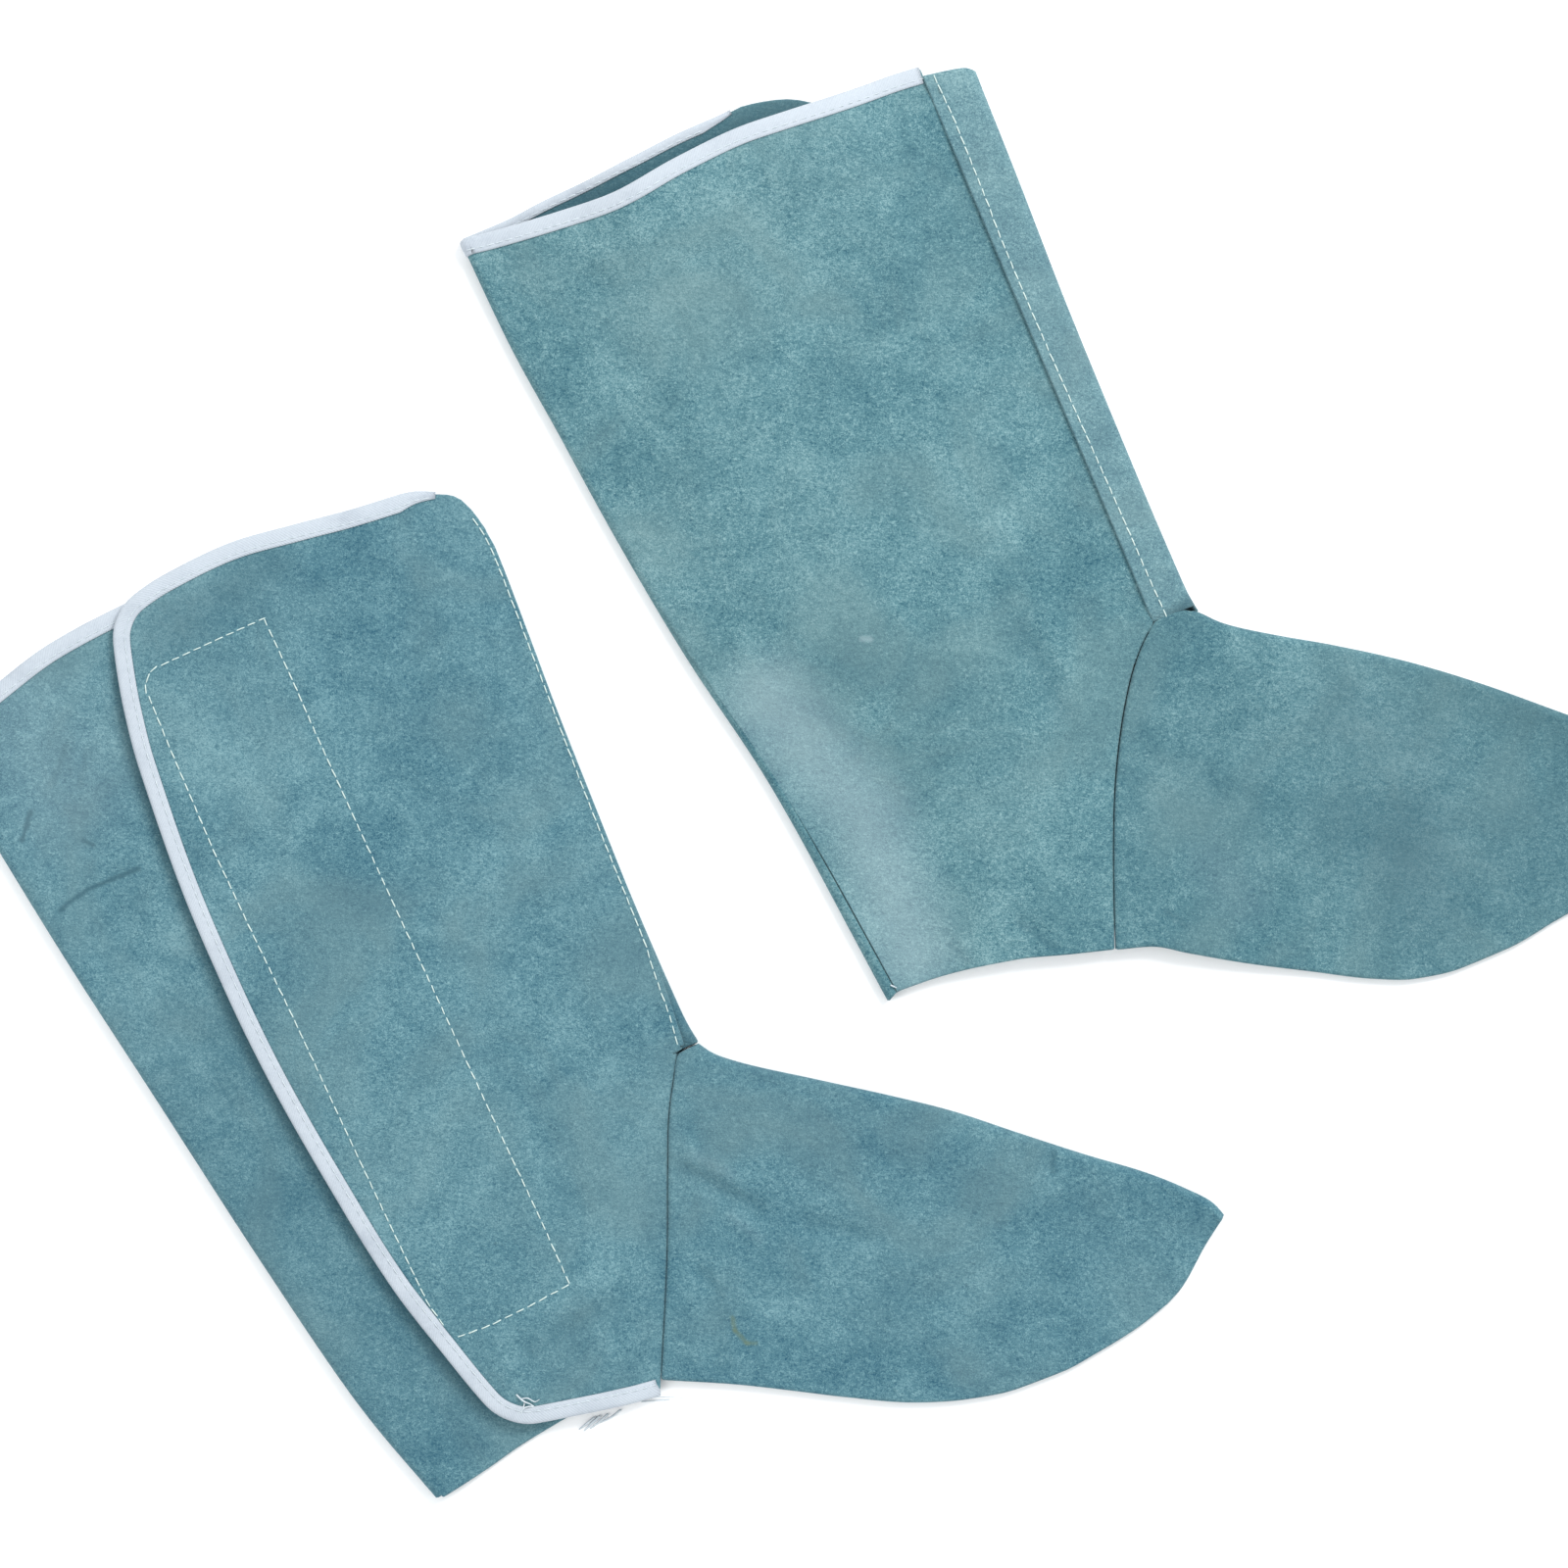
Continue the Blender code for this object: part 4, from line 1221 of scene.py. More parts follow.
@dataclass(frozen=True)
class Mark:
    """A soft-edged darker or lighter place along a line in the plan: spots, stains and scuffs, and also
    painted shade, painted shadows and painted highlights.

    tone: below 0 darker, above 0 lighter. stain: how far it turns olive.
    """

    start: tuple[float, float]
    end: tuple[float, float]
    width: float
    tone: float = 0.0
    stain: float = 0.0

    def mask(self, x: Value, y: Value) -> Value:
        """1 on the line, falling to 0 a width away.

        Args:
            x: plan x, in mm.
            y: plan y, in mm.

        Returns:
            The mask.
        """
        ax, ay = self.start
        dx, dy = self.end[0] - ax, self.end[1] - ay
        length = max(dx * dx + dy * dy, 1e-4)
        ux, uy = x - ax, y - ay
        along = ((ux * dx + uy * dy) / length).within()
        px, py = ux - along * dx, uy - along * dy
        return (px * px + py * py).root().smooth(self.width, 0.0)


@dataclass(frozen=True)
class Trail(Mark):
    """A mark that goes on through more points."""

    more: tuple[tuple[float, float], ...] = ()

    def mask(self, x: Value, y: Value) -> Value:
        """1 on the line, falling to 0 a width away.

        Args:
            x: plan x, in mm.
            y: plan y, in mm.

        Returns:
            The mask.
        """
        found, points = super().mask(x, y), (self.end, *self.more)
        for start, end in zip(points, points[1:]):
            found = found.most(Mark(start, end, self.width).mask(x, y))
        return found


@dataclass(frozen=True)
class Suede:
    """Brushed split leather: clouded colour, a fine nap and brush streaks.

    middle: the usual colour. dark, light: how far it strays. green: the colour that
    patches drift to. nap_turn: heading of the nap in degrees.
    """

    middle: Colour
    dark: Colour
    light: Colour
    green: Colour
    seed: float
    nap_turn: float = 20.0

    def material(self, name: str, place: Placement, marks: Sequence[Mark]) -> bpy.types.Material:
        """The finish of one piece, with marks at its own places.

        Args:
            name: the name of the material.
            place: where the spat lies.
            marks: the marks on this piece.

        Returns:
            The material.
        """
        s = Shader(name)
        world = s.node("ShaderNodeTexCoord").outputs["Object"]
        shift = (self.seed * 0.37, self.seed * 0.71, self.seed * 0.13)
        where = s.node("ShaderNodeMapping", None, {"Vector": world, "Location": shift}).outputs[0]
        turn = (0.0, 0.0, math.radians(self.nap_turn + place.turn))
        brushed = {"Vector": where, "Rotation": turn, "Scale": (420.0, 1500.0, 900.0)}
        streak_at = s.node("ShaderNodeMapping", None, brushed).outputs[0]
        cloud = s.noise(where, 11.0, 3.0, 0.55, 0.7)
        patch = s.noise(where, 38.0, 4.0, 0.6, 0.9)
        blot = s.noise(where, 120.0, 4.0, 0.62, 0.4)
        fleck = s.noise(where, 520.0, 3.0, 0.65)
        grain = s.noise(where, 1250.0, 2.0, 0.6, 1.4)
        streak = s.noise(streak_at, 1.0, 3.0, 0.6)
        tone = cloud * 0.50 + patch * 0.44 + blot * 0.22 + fleck * 0.30 + grain * 1.15 + streak * 0.34 + 0.5
        stops = ((0.0, self.dark), (0.5, self.middle), (1.0, self.light))
        base = s.node("ShaderNodeValToRGB", {"stops": stops}, {0: tone.within()}).outputs[0]
        drift = s.noise(where, 17.0, 3.0, 0.5, 1.2).smooth(-0.15, 0.45)
        base = s.blend(drift * 0.5, base, self.green)
        plan = {"Vector": world, "Location": (place.x * MM, place.y * MM, 0.0), "Scale": (MM, MM, MM),
                "Rotation": (0.0, 0.0, math.radians(place.turn))}
        local = s.node("ShaderNodeMapping", {"vector_type": "TEXTURE"}, plan).outputs[0]
        xyz = s.node("ShaderNodeSeparateXYZ", None, {0: local}).outputs
        x, y = Value(s, xyz[0]), Value(s, xyz[1])
        wander = s.noise(where, 260.0, 2.0, 0.6)
        # Marks: spots, stains and scuffs, and painted shade, painted shadows and painted highlights, blended
        # into the base colour.
        for mark in marks:
            mask = mark.mask(x + wander * 1.2, y - wander * 1.0)
            if mark.stain:
                base = s.blend(mask * mark.stain, base, OLIVE)
            target = SPOT_AND_SHADE_DARK if mark.tone < 0 else SCUFF_AND_HIGHLIGHT_PALE
            if mark.tone:
                base = s.blend(mask * abs(mark.tone), base, target)
        s.fix(Base_Color=base, Roughness=(fleck * 0.12 + 0.9).within(), Sheen_Weight=0.12,
              Sheen_Roughness=0.55, Sheen_Tint=(0.82, 0.95, 1.0), Specular_IOR_Level=0.18)
        nap = s.bump(patch * 0.5 + blot * 0.9, 0.0008, 0.55)
        fine = s.bump(fleck * 0.9 + grain * 0.6 + streak * 0.8, 0.00035, 0.62, nap)
        s.fix(Normal=fine)
        return s.material


@dataclass(frozen=True)
class Webbing:
    """Woven cotton tape with a fine diagonal rib."""

    colour: Colour
    shade: Colour
    rib: float = 1.15

    def material(self, name: str) -> bpy.types.Material:
        """The finish, on the piece's own map in millimetres.

        Args:
            name: the name of the material.

        Returns:
            The material.
        """
        s = Shader(name)
        flat = s.node("ShaderNodeUVMap", {"uv_map": "weave"}).outputs[0]
        uv = s.node("ShaderNodeSeparateXYZ", None, {0: flat}).outputs
        along, across = Value(s, uv[0]), Value(s, uv[1])
        turn = 2 * math.pi / self.rib
        rib = ((along + across * 0.9) * turn).sine() * 0.5 + 0.5
        pick = ((along - across * 1.3) * (turn * 1.7)).sine() * 0.5 + 0.5
        world = s.node("ShaderNodeTexCoord").outputs["Object"]
        dull = s.noise(world, 60.0, 4.0, 0.6).smooth(-0.1, 0.5)
        speck = s.noise(world, 900.0, 2.0, 0.6)
        # The rib term is painted shade in the grooves between the ribs; the dull patches and specks are the
        # tape's own uneven tone.
        colour = s.blend((dull * 0.5 + (1 - rib) * 0.18 + speck * 0.35).within(), self.colour, self.shade)
        weave = s.bump(rib * 0.7 + pick * 0.3 + speck * 0.3, 0.00022, 0.6)
        s.fix(Base_Color=colour, Roughness=0.86, Sheen_Weight=0.1, Specular_IOR_Level=0.25, Normal=weave)
        return s.material


@dataclass(frozen=True)
class Thread:
    """Twisted sewing thread."""

    colour: Colour
    shade: Colour

    def material(self, name: str) -> bpy.types.Material:
        """The finish.

        Args:
            name: the name of the material.

        Returns:
            The material.
        """
        s = Shader(name)
        world = s.node("ShaderNodeTexCoord").outputs["Object"]
        twist = s.noise(world, 700.0, 3.0, 0.6)
        s.fix(Base_Color=s.blend((twist + 0.4).within(), self.colour, self.shade), Roughness=0.7,
              Normal=s.bump(twist, 0.0002, 0.5))
        return s.material


@dataclass(frozen=True)
class HookAndLoop:
    """Black hook or loop tape."""

    colour: Colour

    def material(self, name: str) -> bpy.types.Material:
        """The finish.

        Args:
            name: the name of the material.

        Returns:
            The material.
        """
        s = Shader(name)
        world = s.node("ShaderNodeTexCoord").outputs["Object"]
        pile = s.noise(world, 1600.0, 2.0, 0.7)
        dust = s.noise(world, 50.0, 3.0, 0.6).smooth(0.0, 0.5)
        s.fix(Base_Color=s.blend(dust * 0.4, self.colour, (0.06, 0.065, 0.07)), Roughness=0.95,
              Normal=s.bump(pile, 0.0006, 0.8))
        return s.material


# ---------------------------------------------------------------------------- stitching


class Input(Enum):
    """The named sizes of a row of stitches."""

    PITCH = "Pitch"
    LENGTH = "Stitch length"
    RADIUS = "Thread radius"
    RISE = "Rise"
    LEAN = "Lean"
    SEED = "Seed"
    THREAD = "Thread"


SOCKETS = {name: "NodeSocketFloat" for name in Input}
SOCKETS |= {Input.SEED: "NodeSocketInt", Input.THREAD: "NodeSocketMaterial"}


class StitchTree:
    """Geometry Nodes that set arched stitches along edges."""

    def __init__(self) -> None:
        """Builds the tree."""
        self.group = bpy.data.node_groups.new("stitch row", "GeometryNodeTree")
        face = self.group.interface
        face.new_socket("Path", in_out="INPUT", socket_type="NodeSocketGeometry")
        self.keys = {
            name: face.new_socket(name.value, in_out="INPUT", socket_type=kind).identifier
            for name, kind in SOCKETS.items()
        }
        face.new_socket("Stitches", in_out="OUTPUT", socket_type="NodeSocketGeometry")
        self._wire()

    def _node(self, kind: str, settings: dict | None = None, **inputs: object) -> bpy.types.Node:
        """A node with its settings and inputs, underscores for spaces.

        Args:
            kind: the type of the node.
            settings: its properties.
            inputs: its inputs.

        Returns:
            The node.
        """
        made = self.group.nodes.new(kind)
        for key, value in (settings or {}).items():
            setattr(made, key, value)
        for key, value in inputs.items():
            socket = made.inputs[key.replace("_", " ")]
            if isinstance(value, bpy.types.NodeSocket):
                self.group.links.new(value, socket)
            else:
                socket.default_value = value
        return made

    def _times(self, value: bpy.types.NodeSocket, factor: float) -> bpy.types.NodeSocket:
        """A value times a number.

        Args:
            value: the socket of the value.
            factor: the number.

        Returns:
            The socket of the product.
        """
        made = self._node("ShaderNodeMath", {"operation": "MULTIPLY"})
        self.group.links.new(value, made.inputs[0])
        made.inputs[1].default_value = factor
        return made.outputs[0]

    def _wire(self) -> None:
        """Joins the nodes up."""
        given = self._node("NodeGroupInput").outputs
        length, rise = given[Input.LENGTH.value], given[Input.RISE.value]
        path = self._node("GeometryNodeMeshToCurve", Mesh=given["Path"]).outputs[0]
        even = self._node("GeometryNodeResampleCurve", {"mode": "LENGTH"}, Curve=path,
                          Length=given[Input.PITCH.value])
        tangent = self._node("GeometryNodeInputTangent").outputs[0]
        aimed = self._node("FunctionNodeAlignRotationToVector", {"axis": "X", "pivot_axis": "Z"},
                           Vector=tangent)
        lean = given[Input.LEAN.value]
        wild = self._node("FunctionNodeRandomValue", {"data_type": "FLOAT"}, Seed=given[Input.SEED.value])
        self.group.links.new(self._times(lean, -1.0), wild.inputs[2])
        self.group.links.new(lean, wild.inputs[3])
        turn = self._node("ShaderNodeCombineXYZ", Z=wild.outputs[1]).outputs[0]
        turned = self._node("FunctionNodeEulerToRotation", Euler=turn).outputs[0]
        facing = self._node("FunctionNodeRotateRotation", {"rotation_space": "LOCAL"},
                            Rotation=aimed.outputs[0], Rotate_By=turned).outputs[0]
        start = self._node("ShaderNodeCombineXYZ", X=self._times(length, -0.5), Z=self._times(rise, -0.75))
        middle = self._node("ShaderNodeCombineXYZ", Z=self._times(rise, 1.6))
        end = self._node("ShaderNodeCombineXYZ", X=self._times(length, 0.5), Z=self._times(rise, -0.75))
        arch = self._node("GeometryNodeCurveQuadraticBezier", Resolution=6, Start=start.outputs[0],
                          Middle=middle.outputs[0], End=end.outputs[0])
        ring = self._node("GeometryNodeCurvePrimitiveCircle", Resolution=6,
                          Radius=given[Input.RADIUS.value])
        stitch = self._node("GeometryNodeCurveToMesh", Curve=arch.outputs[0], Profile_Curve=ring.outputs[0],
                            Fill_Caps=True).outputs[0]
        size = self._node("FunctionNodeRandomValue", {"data_type": "FLOAT"}, Seed=given[Input.SEED.value])
        size.inputs[2].default_value, size.inputs[3].default_value = 0.9, 1.06
        placed = self._node("GeometryNodeInstanceOnPoints", Points=even.outputs[0], Instance=stitch,
                            Rotation=facing, Scale=size.outputs[1]).outputs[0]
        real = self._node("GeometryNodeRealizeInstances", Geometry=placed).outputs[0]
        smooth = self._node("GeometryNodeSetShadeSmooth", Geometry=real).outputs[0]
        dressed = self._node("GeometryNodeSetMaterial", Geometry=smooth,
                             Material=given[Input.THREAD.value]).outputs[0]
        self.group.links.new(dressed, self._node("NodeGroupOutput").inputs[0])

    def sew(self, name: str, paths: Sequence[Array], values: dict[Input, object]) -> bpy.types.Object:
        """Stitches along paths as one plain mesh.

        Args:
            name: of the piece.
            paths: (n, 3) points in metres, one path each.
            values: the tree's inputs.

        Returns:
            The object.
        """
        points = np.concatenate(paths)
        edges, first = [], 0
        for path in paths:
            edges += [(first + k, first + k + 1) for k in range(len(path) - 1)]
            first += len(path)
        mesh = bpy.data.meshes.new(name + "_path")
        mesh.from_pydata(points.tolist(), edges, [])
        guide = bpy.data.objects.new(name + "_path", mesh)
        bpy.context.scene.collection.objects.link(guide)
        rule = guide.modifiers.new("stitches", "NODES")
        rule.node_group = self.group
        for key, value in values.items():
            rule[self.keys[key]] = value
        ready = guide.evaluated_get(bpy.context.evaluated_depsgraph_get())
        sewn = bpy.data.meshes.new_from_object(ready)
        sewn.name = name
        guide.modifiers.clear()
        bpy.data.objects.remove(guide, do_unlink=True)
        piece = bpy.data.objects.new(name, sewn)
        bpy.context.scene.collection.objects.link(piece)
        return piece


# ---------------------------------------------------------------------------- spats


@dataclass(frozen=True)
class Stitch:
    """The sizes of one kind of stitch, in millimetres; its lean in radians."""

    pitch: float
    radius: float
    rise: float
    lean: float = 0.07


BINDING_STITCH = Stitch(3.6, 0.20, 0.22, 0.05)
CLOSURE_STITCH = Stitch(4.3, 0.25, 0.46)
RIGHT_SHIN_STITCH = Stitch(4.1, 0.24, 0.42)
LEFT_SHIN_STITCH = Stitch(4.1, 0.25, 0.44)
STITCH_SPACE = 0.75
STITCH_OVER = 0.12
THREAD_OVER = 0.08
PULL_PITCH = 4.3
SEAM_ROWS = 120


@dataclass
class Kit:
    """The finishes and the tree that both spats share."""

    webbing: bpy.types.Material
    thread: bpy.types.Material
    pale_thread: bpy.types.Material
    closure: bpy.types.Material
    stitches: StitchTree


@dataclass(frozen=True)
class Cut:
    """A leather piece's size before it was sewn: width and length, and its area, in metres."""

    width: float
    length: float
    area: float


@dataclass
class Spat:
    """What both spats have in common."""

    name: str
    outline: Outline
    place: Placement
    kit: Kit
    suede: Suede
    cuts: dict[str, Cut]
    creases: tuple[Crease, ...] = ()
    vamp_creases: tuple[Crease, ...] = ()
    runs: tuple[StitchRun, ...] = ()
    marks: dict[str, tuple[Mark, ...]] = field(default_factory=dict)
    pieces: dict[str, bpy.types.Object] = field(default_factory=dict)

    def __post_init__(self) -> None:
        """Makes the smooth lines."""
        self.at = {
            key: self.outline.line(key)
            for key in ("shin", "lap", "calf", "front", "back_front", "seam_up", "seam_low", "tape",
                        "flap_rim", "flap_foot", "back_rim", "back_foot", "inner_rim", "inner_foot",
                        "instep", "sole_up")
        }

    def stacked(self, x: Array, y: Array) -> Array:
        """1 near the rim, where the bindings lie on each other, 0 down the leg."""
        return 1 - ease(self.at["inner_rim"](np.minimum(x, -20.0)) - y, RIM_FLAT, RIM_FLAT + RIM_RAMP)

    def swell(self, x: Array, y: Array) -> Array:
        """Slow swells of the leather, never below 0."""
        return sum(wave.lift(x, y) for wave in SWELLS) + 0.8

    def creased(self, creases: Sequence[Crease], x: Array, y: Array) -> Array:
        """What these creases lift."""
        return sum((crease.lift(x, y) for crease in creases), np.zeros(np.shape(x)))

    def seam_drop(self, away: Array) -> Array:
        """How far an edge is rolled down this far from the cut, in a plain seam."""
        reach = np.clip(SEAM_ROLL - away, 0.0, SEAM_ROLL * 0.96)
        return SEAM_ROLL - np.sqrt(SEAM_ROLL**2 - reach**2)

    def tape_left(self, y: Array) -> Array:
        """The closure tape's left side."""
        return np.maximum(self.at["tape"](y) - CLOSURE_WIDTH / 2, self.at["front"](y) + BINDING_OVER + 7.0)

    def tape_right(self, y: Array) -> Array:
        """The closure tape's right side."""
        return np.minimum(self.at["tape"](y) + CLOSURE_WIDTH / 2, self.at["back_front"](y) - 3.0)

    def calf(self, y: Array) -> Array:
        """The middle of the leather at the calf fold."""
        return self.at["calf"](y) + HALF

    def shin(self, y: Array) -> Array:
        """The middle of the leather at the shin fold."""
        return self.at["shin"](y) - HALF

    def seam_distance(self, x: Array, y: Array) -> Array:
        """How far a plan point is from the upper ankle seam, to its right above 0.

        Args:
            x: plan x, in mm.
            y: plan y, in mm.

        Returns:
            The distances in mm.
        """
        seam = self.at["seam_up"]
        tilt = (seam(y + 0.5) - seam(y - 0.5)) / 1.0
        return (x - seam(y)) / np.sqrt(1 + tilt**2)

    def vamp_height(self, x: Array, y: Array) -> Array:
        """The middle of the vamp's upper layer, without its seam's roll.

        Args:
            x: plan x, in mm.
            y: plan y, in mm.

        Returns:
            The heights in mm.
        """
        top = np.minimum(self.at["instep"](x), 0.6)
        low = self.at["sole_up"](np.maximum(x, self.outline.sole_up[0][0]))
        hem = mix(self.outline.hem, FLOOR_LAYER + LEATHER + 1.1, ease(x, -60.0, 0.0))
        share = (top - y) / (top - low)
        flat = mix(FOLD_TOP, hem, ease(share, 0.0, 0.7))
        room = ease(share, 0.02, 0.14) * (1 - 0.75 * ease(share, 0.6, 1.0))
        return flat + room * (0.75 * self.swell(x, y) - 0.35 + self.creased(self.vamp_creases, x, y))

    def dress(self, key: str) -> bpy.types.Material:
        """The suede of one piece."""
        return self.suede.material(f"{self.name}_{key}_suede", self.place, self.marks.get(key, ()))

    def add_shell(self, key: str, lattice: Lattice, keep: Array) -> None:
        """Makes a leather piece."""
        self.pieces[key] = shell(f"{self.name}_{key}_suede", lattice, keep, self.place, self.dress(key))
        LOG.info("%s %s: %.4f m2 of leather", self.name, key, lattice.area(keep))

    def add_tape(self, key: str, lattice: Lattice, first: int, last: int, side: int) -> None:
        """Makes closure tape on one side of a panel, between two columns.

        Args:
            key: the name of the tape.
            lattice: the lattice of the panel.
            first: the first column.
            last: the last column.
            side: 1 along the panel's normals, -1 against them.
        """
        inside = (lattice.points[:, 0, 1] > CLOSURE_FOOT) & (lattice.points[:, last, 1] < CLOSURE_TOP)
        rows = np.nonzero(inside)[0]
        part = np.s_[rows[0] : rows[-1] + 1, first : last + 1]
        moved = Lattice(lattice.points[part] + lattice.normals[part] * side * TAPE_OFFSET)
        self.pieces[key] = shell(f"{self.name}_{key}_pile", moved, all_cells(moved.points), self.place,
                                 self.kit.closure, CLOSURE_THICK)

    def build_vamp(self) -> None:
        """The vamp: one piece folded along the instep, its two layers meeting at the toe."""
        lay = self.outline
        outer = Route(lay.instep)
        cut = np.array(lay.ankle_up[1], float) - outer(np.array(0.0))
        cut /= np.linalg.norm(cut)
        toe_cut = np.array(lay.toe[0], float) - outer(np.array(1.0))
        toe_cut /= np.linalg.norm(toe_cut)

        def inward(u: Array) -> Array:
            """The plan direction into the leather, along the cuts at the ankle and the toe.

            Args:
                u: shares along the instep.

            Returns:
                The directions, as (..., 2).
            """
            way = outer(np.minimum(u + 0.01, 1.0)) - outer(np.maximum(u - 0.01, 0.0))
            way /= np.linalg.norm(way, axis=-1, keepdims=True)
            across = np.stack([way[..., 1], -way[..., 0]], axis=-1)
            across = mix(cut, across, ease(u, 0.0, 0.06)[..., None])
            across = mix(across, toe_cut, ease(u, 0.95, 1.0)[..., None])
            return across / np.linalg.norm(across, axis=-1, keepdims=True)

        def fold_edge(u: Array) -> Array:
            """Where the fold along the instep ends."""
            return outer(u) + inward(u) * (HALF + FOLD_RADIUS)

        def layer(sole: tuple, seam_points: tuple, ankle: tuple, inset: float, shift: float) -> Patch:
            """A smooth patch between the fold, the ankle seam, the toe and the sole.

            Args:
                sole: points along the sole edge.
                seam_points: pairs of height and place down the ankle seam.
                ankle: points between the fold and the seam, after the first.
                inset: how far the toe is drawn in.
                shift: how far the ankle edge is moved off the seam.

            Returns:
                The patch.
            """
            right_by, down_by = SEAM_WAY[0] * shift, SEAM_WAY[1] * shift
            corner = (sole[0][0] + right_by, sole[0][1] - down_by)
            moved = [(x + right_by, y - down_by) for y, x in reversed(seam_points)]
            seam = [tuple(fold_edge(np.array(0.0))), *ankle[1:], *moved[:-1], corner]
            toe = [tuple(fold_edge(np.array(1.0))), *((x - inset, y) for x, y in lay.toe[:-1]), sole[-1]]
            low, left, right = Route((corner, *sole[1:])), Route(seam), Route(toe)

            def patch(u: Array, w: Array) -> Array:
                """Its plan points.

                Args:
                    u: shares along the instep.
                    w: shares from the fold to the sole.

                Returns:
                    The points, as (..., 2).
                """
                ruled = mix(fold_edge(u), low(u), w[..., None])
                sides = mix(left(w), right(w), u[..., None])
                zero, one = np.zeros_like(u), np.ones_like(u)
                ends = mix(mix(fold_edge(zero), low(zero), w[..., None]),
                           mix(fold_edge(one), low(one), w[..., None]), u[..., None])
                return ruled + sides - ends

            return patch

        upper = layer(lay.sole_up, lay.seam_up, lay.ankle_up, 0.0, SEAM_EDGE)
        lower = layer(lay.sole_low, lay.seam_low, lay.ankle_low, 1.0, LOW_SEAM_EDGE)
        along = shares((0.0, 0.0018, 0.0042, 0.008, 0.014, 1.0), 200.0, FINE)
        deep = shares((0.0, 0.99, 1.0), 105.0, FINE)
        under = shares((0.0, 1.0), 105.0, COARSE)[::-1]
        u, w = np.meshgrid(along, under, indexing="ij")
        low = lower(u, w)
        parts = [np.concatenate([low, np.full((*low.shape[:2], 1), FLOOR_LAYER)], axis=-1)]
        for k in range(1, FOLD_STEPS):
            angle = math.pi * k / FOLD_STEPS
            plan = outer(along) + inward(along) * (HALF + FOLD_RADIUS * (1 - math.sin(angle)))
            z = np.full((len(along), 1), FLOOR_LAYER + FOLD_RADIUS * (1 - math.cos(angle)))
            parts.append(np.concatenate([plan, z], axis=-1)[:, None])
        u, w = np.meshgrid(along, deep, indexing="ij")
        top = upper(u, w)
        x, y = top[..., 0], top[..., 1]
        edge = self.seam_distance(x, y) - SEAM_EDGE
        z = self.vamp_height(x, y) - self.seam_drop(np.maximum(edge, 0.0)) * ease(-y, -2.0, 1.0)
        parts.append(np.concatenate([top, z[..., None]], axis=-1))
        lattice = Lattice(np.concatenate(parts, axis=1))
        self.add_shell("vamp", lattice, all_cells(lattice.points))

    def sew(self, key: str, paths: Sequence[Array], seed: int, stitch: Stitch) -> None:
        """Sews rows of stitches along plan paths that have heights.

        Args:
            key: what they sew.
            paths: (n, 3) points of each row.
            seed: of their small differences.
            stitch: their sizes.
        """
        thread = self.kit.thread if stitch is BINDING_STITCH else self.kit.pale_thread
        values = {Input.PITCH: stitch.pitch * MM, Input.LENGTH: (stitch.pitch - STITCH_SPACE) * MM,
                  Input.RADIUS: stitch.radius * MM, Input.RISE: stitch.rise * MM, Input.LEAN: stitch.lean,
                  Input.SEED: seed, Input.THREAD: thread}
        placed = [self.place.world(path) for path in paths]
        sewn = self.kit.stitches.sew(f"{self.name}_{key}_stitching", placed, values)
        self.pieces[f"{key}_stitching"] = sewn

    def fray(self, strands: Sequence[Strand], top: Height) -> None:
        """Lays loose threads on a surface as one piece.

        Args:
            strands: the threads.
            top: the height of the surface.
        """
        points, faces, first = [], [], 0
        for strand in strands:
            found, around = strand.tube(top)
            points.append(found)
            faces += [[first + k for k in face] for face in around]
            first += len(found)
        placed = self.place.world(np.concatenate(points))
        self.pieces["loose_threads"] = add_piece(f"{self.name}_loose_threads", placed, faces, self.kit.thread)

    def bound_row(self, frames: Frames) -> Array:
        """The line of a binding's stitches, on its upper side."""
        return frames.points[:, STITCH_DEPTH] + frames.normals[:, STITCH_DEPTH] * (BOUND_HALF + STITCH_OVER)

    def bind(self, key: str, frames: Frames) -> None:
        """Makes a binding."""
        name = f"{self.name}_{key}_webbing"
        self.pieces[key] = Tape().build(name, frames, self.place, self.kit.webbing, PULL_PITCH)

    def edge(self, lattice: Lattice, flat: int) -> tuple[Array, Array, Array]:
        """A flap's plan edges: along the foot from the right, up the front, along the rim to a column."""
        p = lattice.points[..., :2]
        return p[0, flat - 1 :: -1], p[:, 0], p[-1, :flat]

    def round_flap(self, lattice: Lattice, flat: int, end: float) -> Array:
        """The bound plan edge of a flap, from the seam round to a place along the rim."""
        foot, front, rim = self.edge(lattice, flat)
        return np.concatenate([foot, front[1:], rim[1:][rim[1:, 0] < end]])

    def outer_leather(self, right: Line, rim: Line, height: Height) -> Panel:
        """The outer panel, from its bound front to this right side, up to this rim."""
        return Panel((lambda y: self.at["front"](y) + BINDING_OVER, self.tape_left, self.tape_right, right),
                     lambda x: self.at["flap_foot"](x) + BINDING_OVER, rim, height, FLAP_ROUNDS)

    def back_leather(self, rim: Line, corner: float) -> Panel:
        """The back panel, up to this rim, its far corner rounded by this radius."""
        lines = (lambda y: self.calf(y) + FOLD_RADIUS, self.tape_left, self.tape_right, self.at["back_front"])
        return Panel(lines, self.at["back_foot"], rim, self.back_height, (0.0, 0.0, corner))

    def lower_right(self, y: Array) -> Array:
        """The right side of the panel that lies lowest: the shin fold, and the ankle seam below it."""
        return np.where(y > 1.0, self.shin(y) - self.bend(y), self.at["seam_low"](y) - LOW_SEAM_EDGE)

    def ankle_rows(self, panel: Panel, *heights: float) -> tuple[float, ...]:
        """The heights, at the middle of a panel, of rows that pass the ankle at these heights.

        Args:
            panel: the panel.
            heights: heights in mm.

        Returns:
            The heights, in the same order.
        """
        x, middle = np.array(ANKLE_PLACE), np.array(MID_PLACE)
        part = [(height - panel.foot(x)) / (panel.rim(x) - panel.foot(x)) for height in heights]
        return tuple(float(mix(panel.foot(middle), panel.rim(middle), share)) for share in part)

